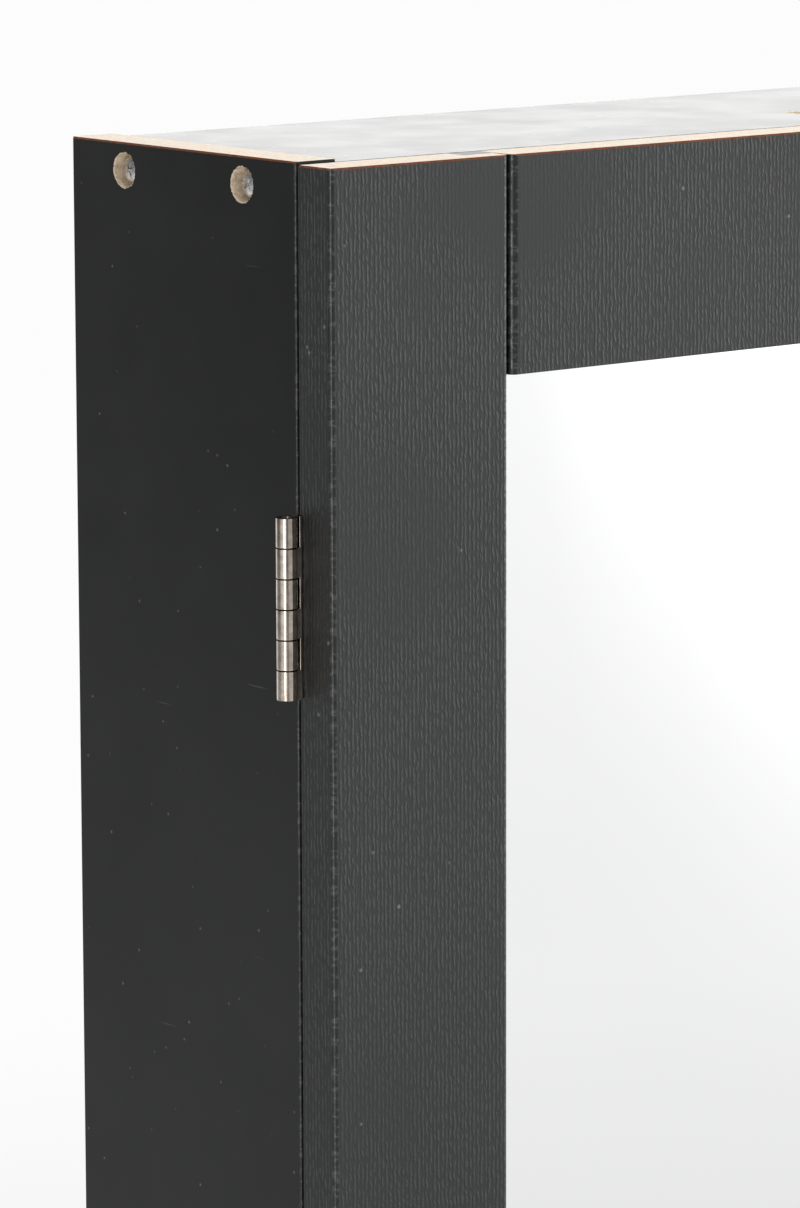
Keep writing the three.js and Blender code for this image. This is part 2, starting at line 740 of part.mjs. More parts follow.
function memberProfile(width) {
  const radius = frameEdgeRadius;
  const shape = new THREE.Shape();
  shape.moveTo(0, doorThickness);
  shape.lineTo(0, radius);
  shape.absarc(radius, radius, radius, Math.PI, 1.5 * Math.PI);
  shape.absarc(width - radius, radius, radius, 1.5 * Math.PI, 2 * Math.PI);
  shape.lineTo(width, frameLip);
  shape.lineTo(width - rebateWidth, frameLip);
  shape.lineTo(width - rebateWidth, doorThickness);
  shape.closePath();
  return shape;
}

function member(width, length) {
  return drawnOut(memberProfile(width), length, edgeSegments);
}

// Eases the front arris at a rail's end, which lies at Z = 0 with the rail behind it.
function arrisCutter(width) {
  const radius = frameEdgeRadius;
  const shape = new THREE.Shape();
  shape.moveTo(-past, -past);
  shape.lineTo(radius, -past);
  shape.lineTo(radius, 0);
  shape.absarc(radius, radius, radius, 1.5 * Math.PI, Math.PI, true);
  shape.lineTo(-past, radius);
  shape.closePath();
  // The shape's X becomes the rail's Z, its Y stays the rail's Y, and it is drawn out along -X.
  return drawnOut(shape, width + 2 * past, edgeSegments)
    .applyMatrix4(new THREE.Matrix4().makeBasis(zAxis, yAxis, xAxis.clone().negate()))
    .translate(width + past, 0, 0);
}

function placeMember(name, geometry, across, along, at) {
  const mesh = new THREE.Mesh(geometry, new THREE.MeshStandardMaterial(grainedFoil));
  mesh.name = name;
  const basis = new THREE.Matrix4().makeBasis(
    new THREE.Vector3(...across), new THREE.Vector3(0, 1, 0), new THREE.Vector3(...along));
  mesh.quaternion.setFromRotationMatrix(basis);
  mesh.position.set(...at);
  return mesh;
}

const dowelMiddle = doorThickness / 2;
const dowelInset = coreWidth.rail / 2; // from the rail's outer edge

function stile(name, side) {
  const dowelHoles = [dowelInset, doorHeight - dowelInset].map((z) => aim(
    rod(dowelRadius + seatGap, stileWidth - dowelInStile - seatGap, stileWidth + past, smallSides),
    '+x', [0, dowelMiddle, z]));
  const tools = [...dowelHoles];
  const toLocal = (geometry) => geometry.translate(doorHalfWidth, -doorFrontY, -doorBottomZ);
  if (side < 0) {
    for (const bottomZ of Object.values(hingeBottoms)) {
      tools.push(toLocal(hingeMortise(bottomZ, false)));
      tools.push(...leafPilots(bottomZ, '+y').map(toLocal));
    }
  } else {
    tools.push(aim(
      rod(lockBarrelRadius + seatGap, -past, doorThickness + past, bigSides),
      '+y', [doorHalfWidth - lockX, 0, doorTopZ - lockZ]));
    tools.push(smallScrewPilot(
      '+y', [doorHalfWidth - strikeX, doorThickness + strikeFace, doorTopZ - catchZ]));
  }
  const geometry = cut(member(stileWidth, doorHeight), tools);
  return side < 0
    ? placeMember(name, geometry, [1, 0, 0], [0, 0, 1], [-doorHalfWidth, doorFrontY, doorBottomZ])
    : placeMember(name, geometry, [-1, 0, 0], [0, 0, -1], [doorHalfWidth, doorFrontY, doorTopZ]);
}

const railLength = 2 * (doorHalfWidth - stileWidth - glueGap);

function rail(name, side) {
  const tongue = block(
    [0, frameLip + glueGap, -rebateWidth],
    [coreWidth.rail, doorThickness, railLength + rebateWidth]);
  const nearHole = rod(dowelRadius + seatGap, -rebateWidth - past, dowelInRail + seatGap, smallSides);
  const farHole = nearHole.clone().translate(0, 0, railLength + rebateWidth + past - dowelInRail - seatGap);
  const holes = [nearHole, farHole].map((hole) => hole.translate(dowelInset, dowelMiddle, 0));
  const nearArris = arrisCutter(railWidth);
  const farArris = nearArris.clone().rotateY(Math.PI).translate(railWidth, 0, railLength);
  const geometry = cut(join([member(railWidth, railLength), tongue]), [nearArris, farArris, ...holes]);
  const endX = railLength / 2;
  return side > 0
    ? placeMember(name, geometry, [0, 0, -1], [1, 0, 0], [-endX, doorFrontY, doorTopZ])
    : placeMember(name, geometry, [0, 0, 1], [-1, 0, 0], [endX, doorFrontY, doorBottomZ]);
}

function dowel(name, side, end) {
  const jointX = doorHalfWidth - stileWidth;
  const from = jointX - dowelInRail;
  const to = jointX + dowelInStile;
  const z = end > 0 ? doorTopZ - dowelInset : doorBottomZ + dowelInset;
  const pin = rod(dowelRadius, from, to, smallSides);
  return piece(name, aim(pin, side > 0 ? '+x' : '-x', [0, doorFrontY + dowelMiddle, z]), beech);
}

function mirrorGlass() {
  const halfX = doorHalfWidth - coreWidth.stile - mirrorEdgeGap;
  const frontFaceY = doorFrontY + frameLip + glueGap;
  return piece('mirror_glass', block(
    [-halfX, frontFaceY, doorBottomZ + coreWidth.rail + mirrorEdgeGap],
    [halfX, frontFaceY + mirrorThickness, doorTopZ - coreWidth.rail - mirrorEdgeGap]), mirror);
}

function mirrorBacking() {
  const halfX = doorHalfWidth - coreWidth.stile - seatGap;
  const frontFaceY = doorFrontY + frameLip + mirrorThickness + 2 * glueGap;
  return piece('mirror_backing', block(
    [-halfX, frontFaceY, doorBottomZ + coreWidth.rail + seatGap],
    [halfX, doorBackY, doorTopZ - coreWidth.rail - seatGap]), velvet);
}

// Hinges: in each hinge's own frame the pin is the Z axis and the leaves lie towards +X.

const knucklePitch = hingeLength / knuckleCount;

function hingeLeaf(name, first, backward) {
  const near = leafGap / 2;
  const far = near + leafThickness;
  const y = backward ? [near, far] : [-far, -near];
  const clear = knuckleRadius + runningGap;
  const parts = [block([clear, y[0], 0], [leafReach, y[1], hingeLength])];
  for (let i = first; i < knuckleCount; i += 2) {
    const topZ = hingeLength - i * knucklePitch - knuckleGap / 2;
    const bottomZ = topZ - knucklePitch + knuckleGap;
    parts.push(rod(knuckleRadius, bottomZ, topZ, barrelSides));
    parts.push(block([0, y[0], bottomZ], [leafReach, y[1], topZ]));
  }
  const bore = rod(hingePinRadius + runningGap, -past, hingeLength + past, barrelSides);
  const shaped = cut(join(parts), [bore]);
  const screwX = leafScrewX - hingeX;
  const places = leafScrewShares.map((share) => [screwX, backward ? near : -near, share * hingeLength]);
  return piece(name, withSmallScrews(shaped, backward ? '-y' : '+y', places), nickel);
}

function hingePin(name) {
  return piece(name, rod(hingePinRadius, hingePinRecess, hingeLength - hingePinRecess, smallSides), nickel);
}

// Each hinge's two leaves and pin, at its own height.
function hinges() {
  const group = new THREE.Group();
  for (const [place, bottomZ] of Object.entries(hingeBottoms)) {
    const hinge = new THREE.Group();
    hinge.position.set(hingeX, hingeY, bottomZ);
    hinge.add(hingeLeaf(`hinge_${place}_frame_leaf`, 0, true));
    hinge.add(hingeLeaf(`hinge_${place}_door_leaf`, 1, false));
    hinge.add(hingePin(`hinge_${place}_pin`));
    group.add(hinge);
  }
  return group;
}

// Magnetic catch

const strikeX = innerX - glueGap - catchWidth / 2;
const strikeFace = glueGap + strikeThickness; // how far the strike stands out behind the door

function catchHousing() {
  const wall = innerX - glueGap;
  const flange = block(
    [wall - catchFlangeThickness, catchFrontY + catchFlangeInset, catchZ - catchHeight / 2],
    [wall, catchFrontY + catchDepth - catchFlangeInset, catchZ + catchHeight / 2]);
  const body = board(
    [wall - catchWidth, catchFrontY, catchZ - catchBlockHeight / 2],
    [wall, catchFrontY + catchDepth, catchZ + catchBlockHeight / 2], 'z', boardEdgeRadius);
  return piece('catch_housing', withSmallScrews(join([flange, body]), '-x', catchScrewPlaces), plastic);
}

function catchStrike() {
  const shape = roundedRectangle(catchWidth, strikeHeight, strikeCornerCut);
  const plate = drawnOut(shape, strikeThickness, edgeSegments).translate(0, 0, -strikeThickness);
  const standing = aim(plate, '+y', [strikeX, doorBackY + strikeFace, catchZ]);
  const screwed = withSmallScrews(standing, '+y', [[strikeX, doorBackY + strikeFace, catchZ]]);
  return piece('catch_strike', screwed, zinc);
}

// Lock: in its own frame +Z points out of the door's face, which is the plane Z = 0.

const lockFaceZ = glueGap + lockFlangeThickness;
const barrelEndZ = -doorThickness - lockBarrelBehind;
const camBackZ = barrelEndZ - runningGap - camThickness;

function lockHousing() {
  const flange = new THREE.CylinderGeometry(
    lockFlangeRadius - lockFlangeChamfer, lockFlangeRadius, lockFlangeThickness, bigSides)
    .rotateX(Math.PI / 2).translate(0, 0, lockFaceZ - lockFlangeThickness / 2);
  const barrel = rod(lockBarrelRadius, barrelEndZ, lockFaceZ - lockFlangeThickness / 2, bigSides);
  const bore = rod(lockPlugRadius + runningGap, barrelEndZ - past, lockFaceZ + past, bigSides);
  return cut(join([flange, barrel]), [bore]);
}

function lockPlug() {
  const half = plugSquare / 2;
  const body = rod(lockPlugRadius, barrelEndZ, lockFaceZ, bigSides);
  const square = block([-half, -half, camBackZ], [half, half, 0]);
  const keyway = block([-keywayWidth / 2, -keywayHeight / 2, lockFaceZ - keywayDepth],
    [keywayWidth / 2, keywayHeight / 2, lockFaceZ + past]);
  const screwHole = rod(
    camScrewShankRadius + seatGap, camBackZ - past, camBackZ + camScrewLength + seatGap, smallSides);
  return cut(join([body, square]), [keyway, screwHole]);
}

function lockCam() {
  const shape = new THREE.Shape();
  shape.absarc(0, 0, camHubRadius, 0, Math.PI);
  shape.absarc(0, -camReach + camTipRadius, camTipRadius, Math.PI, 2 * Math.PI);
  const half = plugSquare / 2 + seatGap;
  const hole = new THREE.Path();
  hole.moveTo(-half, -half);
  hole.lineTo(-half, half);
  hole.lineTo(half, half);
  hole.lineTo(half, -half);
  hole.closePath();
  shape.holes.push(hole);
  return drawnOut(shape, camThickness, 2 * edgeSegments).translate(0, 0, camBackZ);
}

function lockNut() {
  const topZ = -doorThickness - glueGap;
  const bottomZ = topZ - lockNutThickness;
  const hexagon = rod(lockNutRadius, bottomZ, topZ, 6);
  return cut(hexagon, [rod(lockBarrelRadius + seatGap, bottomZ - past, topZ + past, bigSides)]);
}

function camScrew() {
  const screw = panHeadScrew(camScrewHeadRadius, camScrewHeadHeight, camScrewShankRadius,
    camScrewHeadHeight + camScrewLength);
  return aim(screw, '-z', [0, 0, camBackZ - seatGap - camScrewHeadHeight]);
}

function lock() {
  const group = new THREE.Group();
  group.position.set(lockX, doorFrontY, lockZ);
  group.rotation.x = Math.PI / 2; // local +Z looks out to -Y and local +Y looks up
  group.add(piece('lock_housing', lockHousing(), nickel));
  group.add(piece('lock_plug', lockPlug(), nickel));
  group.add(piece('lock_cam', lockCam(), zinc));
  group.add(piece('lock_nut', lockNut(), zinc));
  group.add(piece('cam_screw', camScrew(), zinc));
  return group;
}

// Assembly

const carcass = new THREE.Group();
carcass.add(
  sidePanel('side_panel_left', -1),
  sidePanel('side_panel_right', 1),
  endPanel('top_panel', ceilingZ, 1),
  endPanel('bottom_panel', floorZ, -1),
  backPanel(),
  hangingRail(),
  centerDivider(),
  ledge('shelf_ledge', shelfTops.lower),
  ledge('floor_ledge', floorZ),
);
for (const [place, x] of Object.entries(hangerXs)) {
  carcass.add(hangerPlate(`hanger_plate_${place}`, x));
}
for (const [place, topZ] of Object.entries(shelfTops)) {
  carcass.add(shelf(`shelf_${place}`, topZ));
}
['left', 'right'].forEach((sideName, i) => {
  const side = i === 0 ? -1 : 1;
  ['top', 'bottom'].forEach((rowName, row) => {
    ['front', 'back'].forEach((columnName, column) => {
      const at = [side * (sideX - panelScrewHeadTop), panelScrewColumns[column], panelScrewRows[row]];
      const name = `panel_screw_${sideName}_${rowName}_${columnName}`;
      carcass.add(panelScrew(name, side > 0 ? '+x' : '-x', at));
    });
  });
});
carcass.add(panelScrew('divider_screw', '+z', [0, dividerScrewY, panelTopZ - panelScrewHeadTop]));

const fittings = new THREE.Group();
fittings.add(hookStrip(), ...necklaceHooks(), ringCushion(), braceletRod(), catchHousing());
['upper', 'lower'].forEach((place, i) => {
  fittings.add(earringBar(`earring_bar_${place}`, earringBarDrops[i]));
});

const door = new THREE.Group();
door.add(
  stile('door_stile_left', -1),
  stile('door_stile_right', 1),
  rail('door_rail_top', 1),
  rail('door_rail_bottom', -1),
  dowel('frame_dowel_top_left', -1, 1),
  dowel('frame_dowel_top_right', 1, 1),
  dowel('frame_dowel_bottom_left', -1, -1),
  dowel('frame_dowel_bottom_right', 1, -1),
  mirrorGlass(),
  mirrorBacking(),
  catchStrike(),
  lock(),
);

const cabinet = new THREE.Group();
cabinet.add(carcass, fittings, door, hinges());

export default cabinet;
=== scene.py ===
import json
import math
import random

import bmesh
import bpy
from mathutils import Matrix, Vector


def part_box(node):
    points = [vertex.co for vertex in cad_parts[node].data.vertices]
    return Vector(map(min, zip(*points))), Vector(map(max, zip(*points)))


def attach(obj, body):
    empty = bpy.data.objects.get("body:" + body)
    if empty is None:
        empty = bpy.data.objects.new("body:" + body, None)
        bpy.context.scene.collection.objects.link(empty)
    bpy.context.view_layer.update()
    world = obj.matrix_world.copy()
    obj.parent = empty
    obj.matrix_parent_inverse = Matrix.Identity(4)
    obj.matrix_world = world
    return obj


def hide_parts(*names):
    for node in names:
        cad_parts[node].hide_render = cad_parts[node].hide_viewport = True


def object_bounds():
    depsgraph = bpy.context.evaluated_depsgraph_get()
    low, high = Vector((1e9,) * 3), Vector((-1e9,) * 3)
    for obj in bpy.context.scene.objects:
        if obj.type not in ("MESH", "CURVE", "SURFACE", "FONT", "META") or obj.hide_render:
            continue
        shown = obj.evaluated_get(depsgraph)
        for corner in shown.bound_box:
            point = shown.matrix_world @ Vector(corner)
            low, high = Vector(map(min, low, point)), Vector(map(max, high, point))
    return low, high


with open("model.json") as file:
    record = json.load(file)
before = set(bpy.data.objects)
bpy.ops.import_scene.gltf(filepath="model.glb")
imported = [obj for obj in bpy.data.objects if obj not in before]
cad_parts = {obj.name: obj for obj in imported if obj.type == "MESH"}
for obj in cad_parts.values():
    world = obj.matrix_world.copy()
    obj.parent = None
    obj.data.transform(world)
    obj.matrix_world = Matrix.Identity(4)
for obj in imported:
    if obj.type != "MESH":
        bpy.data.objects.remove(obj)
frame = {"nodes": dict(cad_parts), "record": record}
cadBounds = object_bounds()
mm = 0.001
print("frame loaded")


# Camera

camera = {
    "place": (-1.00695, -1.13684, 0.16722),
    "turn": 39.087,       # degrees from straight ahead towards the right
    "dip": 9.685,
    "roll": 0.161,
    "lens": 173.22,
    "sensor": 36.0,       # along the picture's height
}


def makeCamera():
    turn, dip, roll = (math.radians(camera[key]) for key in ("turn", "dip", "roll"))
    ahead = Vector((math.sin(turn) * math.cos(dip), math.cos(turn) * math.cos(dip), -math.sin(dip)))
    level = Vector((math.cos(turn), -math.sin(turn), 0))
    up = level.cross(ahead)
    right = math.cos(roll) * level - math.sin(roll) * up
    top = math.sin(roll) * level + math.cos(roll) * up
    data = bpy.data.cameras.new("camera")
    data.sensor_fit = "VERTICAL"
    data.sensor_height = camera["sensor"]
    data.lens = camera["lens"]
    data.clip_end = 50
    made = bpy.data.objects.new("camera", data)
    bpy.context.scene.collection.objects.link(made)
    pose = Matrix((right, top, -ahead)).transposed().to_4x4()
    pose.translation = Vector(camera["place"])
    made.matrix_world = pose
    bpy.context.scene.camera = made


makeCamera()


# Shader helpers

class Shader:
    # Short calls for placing and joining nodes in one tree.

    def __init__(self, tree):
        self.tree = tree

    def add(self, kind, **values):
        node = self.tree.nodes.new(kind)
        for key, value in values.items():
            setattr(node, key, value)
        return node

    def link(self, source, target):
        if isinstance(source, bpy.types.NodeSocket):
            self.tree.links.new(source, target)
        else:
            target.default_value = source

    def math(self, operation, first, second=0.0, third=None, clamp=False):
        node = self.add("ShaderNodeMath", operation=operation, use_clamp=clamp)
        self.link(first, node.inputs[0])
        self.link(second, node.inputs[1])
        if third is not None:
            self.link(third, node.inputs[2])
        return node.outputs[0]

    def span(self, value, low, high, toLow=0.0, toHigh=1.0, smooth=True):
        node = self.add("ShaderNodeMapRange", interpolation_type="SMOOTHSTEP" if smooth else "LINEAR")
        self.link(value, node.inputs["Value"])
        for name, number in (("From Min", low), ("From Max", high), ("To Min", toLow), ("To Max", toHigh)):
            self.link(number, node.inputs[name])
        return node.outputs["Result"]

    def stretch(self, vector, scale):
        node = self.add("ShaderNodeVectorMath", operation="MULTIPLY")
        self.link(vector, node.inputs[0])
        node.inputs[1].default_value = scale
        return node.outputs["Vector"]

    def noise(self, vector, scale=1.0, detail=2.0, roughness=0.5, distortion=0.0):
        node = self.add("ShaderNodeTexNoise")
        self.link(vector, node.inputs["Vector"])
        values = {"Scale": scale, "Detail": detail, "Roughness": roughness, "Distortion": distortion}
        for name, number in values.items():
            node.inputs[name].default_value = number
        return node.outputs["Fac"]

    def cells(self, vector, scale, randomness=1.0):
        node = self.add("ShaderNodeTexVoronoi")
        self.link(vector, node.inputs["Vector"])
        node.inputs["Scale"].default_value = scale
        node.inputs["Randomness"].default_value = randomness
        return node

    def mix(self, amount, first, second):
        node = self.add("ShaderNodeMix", data_type="RGBA")
        self.link(amount, node.inputs[0])
        self.link(first, node.inputs[6])
        self.link(second, node.inputs[7])
        return node.outputs[2]

    def between(self, amount, values, first, second):
        return self.mix(amount, (*values[first], 1.0), (*values[second], 1.0))

    def bump(self, height, strength, distance, normal=None):
        node = self.add("ShaderNodeBump")
        self.link(height, node.inputs["Height"])
        self.link(strength, node.inputs["Strength"])
        node.inputs["Distance"].default_value = distance
        if normal is not None:
            self.link(normal, node.inputs["Normal"])
        return node.outputs["Normal"]

    def graph(self, value, points):
        node = self.add("ShaderNodeFloatCurve")
        made = node.mapping.curves[0].points
        while len(made) < len(points):
            made.new(0.5, 0.5)
        for point, place in zip(made, points):
            point.location = place
            point.handle_type = "VECTOR"
        node.mapping.update()
        self.link(value, node.inputs["Value"])
        return node.outputs[0]

    def place(self):
        return self.add("ShaderNodeTexCoord").outputs["Object"]

    def seen(self, path):
        # What the camera sees, directly or through something clear.
        return self.math(
            "ADD", path.outputs["Is Camera Ray"], path.outputs["Is Transmission Ray"], clamp=True)

    def group(self, tree, **values):
        node = self.add("ShaderNodeGroup", node_tree=tree)
        for key, value in values.items():
            self.link(value, node.inputs[key])
        return node


def newGroup(name, takes, gives):
    tree = bpy.data.node_groups.new(name, "ShaderNodeTree")
    for key, kind in takes.items():
        socketType = "NodeSocketVector" if kind == "vector" else "NodeSocketFloat"
        socket = tree.interface.new_socket(key, in_out="INPUT", socket_type=socketType)
        if kind != "vector":
            socket.default_value = kind
    for key in gives:
        tree.interface.new_socket(key, in_out="OUTPUT", socket_type="NodeSocketFloat")
    shader = Shader(tree)
    return shader, shader.add("NodeGroupInput").outputs, shader.add("NodeGroupOutput").inputs


def colour(value):
    return (*value, 1.0)


# Effects that several materials share

def makeDust():
    # Small pale specks, and how many of them there are.
    shader, takes, gives = newGroup("dust", {"Place": "vector", "Amount": 0.5}, ["Mask"])
    cell = shader.cells(takes["Place"], 260.0)
    seed = shader.add("ShaderNodeSeparateColor")
    shader.link(cell.outputs["Color"], seed.inputs[0])
    speck = shader.span(cell.outputs["Distance"], 0.08, 0.17, 1.0, 0.0)
    chosen = shader.math("LESS_THAN", seed.outputs[0], shader.math("MULTIPLY", takes["Amount"], 0.06))
    shader.link(shader.math("MULTIPLY", speck, chosen), gives["Mask"])
    return shader.tree


def makeScuffs():
    # A few hair-fine level scratches.
    shader, takes, gives = newGroup("scuffs", {"Place": "vector"}, ["Mask"])
    cell = shader.cells(shader.stretch(takes["Place"], (28.0, 28.0, 620.0)), 1.0)
    seed = shader.add("ShaderNodeSeparateColor")
    shader.link(cell.outputs["Color"], seed.inputs[0])
    line = shader.span(cell.outputs["Distance"], 0.05, 0.14, 1.0, 0.0)
    chosen = shader.math("LESS_THAN", seed.outputs[1], 0.02)
    shader.link(shader.math("MULTIPLY", line, chosen), gives["Mask"])
    return shader.tree


def makeStreaks():
    # Upright wrinkles pressed into the foil: short dashes side by side, bent and broken by noise.
    shader, takes, gives = newGroup("streaks", {"Place": "vector", "Pitch": 1.2, "Wander": 3.0}, ["Height"])
    parts = shader.add("ShaderNodeSeparateXYZ")
    shader.link(takes["Place"], parts.inputs[0])
    across = shader.math("ADD", parts.outputs[0], parts.outputs[1])
    phase = shader.math("DIVIDE", shader.math("MULTIPLY", across, 2000.0 * math.pi), takes["Pitch"])
    bend = shader.noise(shader.stretch(takes["Place"], (330.0, 330.0, 300.0)), 1.0, 2.0, 0.6)
    sway = shader.math("MULTIPLY", takes["Wander"], 4.0)
    bend = shader.math("MULTIPLY", shader.math("SUBTRACT", bend, 0.5), sway)
    wave = shader.math("SINE", shader.math("ADD", phase, bend))
    raised = shader.span(wave, -1.0, 1.0)
    ends = shader.noise(shader.stretch(takes["Place"], (780.0, 780.0, 470.0)), 1.0, 1.5, 0.5)
    broken = shader.span(ends, 0.34, 0.6)
    pores = shader.noise(shader.stretch(takes["Place"], (2300.0, 2300.0, 1100.0)), 1.0, 1.0)
    fine = shader.span(pores, 0.3, 0.7, 0.5, 1.0)
    patch = shader.span(shader.noise(takes["Place"], 21.0, 2.0, 0.6), 0.30, 0.5, 0.45, 1.0)
    height = shader.math("MULTIPLY", shader.math("MULTIPLY", raised, broken), fine)
    shader.link(shader.math("MULTIPLY", height, patch), gives["Height"])
    return shader.tree


def makeFibres():
    # Pressed wood fibre, as on a sawn or drilled edge.
    shader, takes, gives = newGroup("fibres", {"Place": "vector"}, ["Tone", "Height"])
    coarse = shader.noise(takes["Place"], 700.0, 3.0, 0.65, 0.4)
    fine = shader.noise(takes["Place"], 2600.0, 2.0, 0.6)
    tone = shader.math("ADD", shader.math("MULTIPLY", coarse, 0.65), shader.math("MULTIPLY", fine, 0.35))
    shader.link(shader.span(tone, 0.3, 0.7), gives["Tone"])
    shader.link(tone, gives["Height"])
    return shader.tree


def makeScratches():
    # Hair-fine lines along Z and a soft blotchiness, for plated metal.
    shader, takes, gives = newGroup("scratches", {"Place": "vector", "Along": 60.0}, ["Lines", "Blotch"])
    parts = shader.add("ShaderNodeSeparateXYZ")
    shader.link(takes["Place"], parts.inputs[0])
    joined = shader.add("ShaderNodeCombineXYZ")
    for axis in (0, 1):
        shader.link(shader.math("MULTIPLY", parts.outputs[axis], 9000.0), joined.inputs[axis])
    shader.link(shader.math("MULTIPLY", parts.outputs[2], takes["Along"]), joined.inputs[2])
    shader.link(shader.span(shader.noise(joined.outputs[0], 1.0, 1.0), 0.35, 0.7), gives["Lines"])
    shader.link(shader.noise(takes["Place"], 420.0, 3.0, 0.6), gives["Blotch"])
    return shader.tree


effects = {
    "dust": makeDust(),
    "scuffs": makeScuffs(),
    "streaks": makeStreaks(),
    "fibres": makeFibres(),
    "scratches": makeScratches(),
}


# Materials

def newMaterial(name, **sockets):
    made = bpy.data.materials.new(name)
    made.use_nodes = True
    tree = made.node_tree
    shader = Shader(tree)
    surface = tree.nodes["Principled BSDF"]
    for key, value in sockets.items():
        surface.inputs[key.replace("_", " ")].default_value = value
    return made, shader, surface.inputs, shader.place()


smoothFoil = {
    "black": (0.0058, 0.0068, 0.0064),
    "pale": (0.0098, 0.0110, 0.0104),
    "speck": (0.17, 0.175, 0.165),
    "roughness": (0.315, 0.365),
}


def makeSmoothFoil():
    made, shader, surface, place = newMaterial("smooth foil", Specular_IOR_Level=0.36)
    cloud = shader.noise(place, 14.0, 3.0, 0.55)
    tone = shader.between(shader.span(cloud, 0.35, 0.65), smoothFoil, "black", "pale")
    dust = shader.group(effects["dust"], Place=place, Amount=1.3).outputs["Mask"]
    scuff = shader.group(effects["scuffs"], Place=place).outputs["Mask"]
    marks = shader.math("MAXIMUM", dust, shader.math("MULTIPLY", scuff, 0.3))
    shader.link(shader.mix(marks, tone, colour(smoothFoil["speck"])), surface["Base Color"])
    low, high = smoothFoil["roughness"]
    shader.link(shader.span(shader.noise(place, 60.0, 2.0, 0.5), 0.2, 0.8, low, high), surface["Roughness"])
    ripple = shader.noise(shader.stretch(place, (520.0, 520.0, 160.0)), 1.0, 2.0, 0.5)
    skin = shader.bump(ripple, 0.06, 0.06 * mm)
    shader.link(shader.bump(marks, 0.5, 0.06 * mm, skin), surface["Normal"])
    return made


grainedFoil = {
    # The valley colour is darkened as painted shade in the wrinkle valleys; the ridge colour is lightened as
    # a painted highlight on the crests.
    "painted_valley_shade": (0.0150, 0.0166, 0.0163),
    "painted_ridge_highlight": (0.0325, 0.0348, 0.0342),
    "speck": (0.15, 0.155, 0.15),
    "roughness": (0.34, 0.48),
    "pitch": 1.22,       # millimetres from wrinkle to wrinkle
    "wander": 1.5,
    "emboss": 0.85,
    "depth": 0.115,      # millimetres
    "rubbed": {"place": (-0.128, -0.1, 0.036), "radius": 0.034},     # smoothed by handling at the joint
}


def makeGrainedFoil():
    made, shader, surface, place = newMaterial("grained foil", Specular_IOR_Level=0.5)
    streaks = shader.group(
        effects["streaks"], Place=place, Pitch=grainedFoil["pitch"], Wander=grainedFoil["wander"])
    away = shader.add("ShaderNodeVectorMath", operation="DISTANCE")
    shader.link(place, away.inputs[0])
    away.inputs[1].default_value = grainedFoil["rubbed"]["place"]
    radius = grainedFoil["rubbed"]["radius"]
    kept = shader.span(away.outputs["Value"], radius * 0.35, radius, 0.25, 1.0)
    height = shader.math("MULTIPLY", streaks.outputs["Height"], kept)
    cloud = shader.span(shader.noise(place, 11.0, 2.0), 0.3, 0.7, 0.0, 0.2)
    # The wrinkle heights also set the colour: crests get a painted highlight and valleys painted shade, with
    # a faint random cloud on top.
    shade = shader.math("ADD", shader.math("MULTIPLY", height, 0.8), cloud, clamp=True)
    tone = shader.between(shade, grainedFoil, "painted_valley_shade", "painted_ridge_highlight")
    dust = shader.group(effects["dust"], Place=place, Amount=0.5).outputs["Mask"]
    shader.link(shader.mix(dust, tone, colour(grainedFoil["speck"])), surface["Base Color"])
    low, high = grainedFoil["roughness"]
    shader.link(shader.span(height, 0.1, 0.8, high, low), surface["Roughness"])
    fold = shader.bump(height, grainedFoil["emboss"], grainedFoil["depth"] * mm)
    pores = shader.noise(place, 2400.0, 1.0)
    shader.link(shader.bump(pores, 0.12, 0.05 * mm, fold), surface["Normal"])
    return made


# The light colour is a painted highlight on the arris dashes; the dark colour is the foil between them.
foldedFoilDashedHighlight = {"dark": (0.012, 0.0135, 0.0135), "light": (0.060, 0.062, 0.061), "roughness": (0.2, 0.42)}


def makeFoldedFoilHighlight():
    # Where the foil is drawn round an arris: glossier, and crinkled into short dashes whose colour is
    # painted lighter, as a painted highlight along the arris.
    made, shader, surface, place = newMaterial("folded foil painted highlight", Specular_IOR_Level=0.5)
    dash = shader.noise(shader.stretch(place, (420.0, 420.0, 900.0)), 1.0, 2.0, 0.6, 0.3)
    shade = shader.span(dash, 0.48, 0.62)
    shader.link(shader.between(shade, foldedFoilDashedHighlight, "dark", "light"), surface["Base Color"])
    low, high = foldedFoilDashedHighlight["roughness"]
    shader.link(shader.span(dash, 0.35, 0.6, high, low), surface["Roughness"])
    shader.link(shader.bump(dash, 0.55, 0.18 * mm), surface["Normal"])
    return made


rawBoard = {"dark": (0.52, 0.40, 0.28), "light": (0.95, 0.82, 0.64)}
# A paler copy of the raw board for the sawn ends: the extra paleness is painted light, as if the ends were
# brightly lit.
sawnBoardPaintedLit = {"dark": (0.70, 0.60, 0.495), "light": (0.87, 0.785, 0.685)}
burntEdge = {"dark": (0.075, 0.022, 0.008), "light": (0.19, 0.060, 0.023)}


def makeBoard(name, values):
    made, shader, surface, place = newMaterial(name, Roughness=0.9, Specular_IOR_Level=0.3)
    fibres = shader.group(effects["fibres"], Place=place)
    tone = shader.between(fibres.outputs["Tone"], values, "dark", "light")
    shader.link(tone, surface["Base Color"])
    shader.link(shader.bump(fibres.outputs["Height"], 0.8, 0.25 * mm), surface["Normal"])
    return made


nickel = {"bright": (0.73, 0.64, 0.555), "dull": (0.51, 0.44, 0.375), "roughness": (0.07, 0.15)}
# The ends of barrels, lips and pins are painted near-black as painted shade, where they reflect little
# light.
cutMetalPaintedShade = {"dark": (0.035, 0.028, 0.024), "light": (0.16, 0.13, 0.11), "roughness": (0.3, 0.5)}


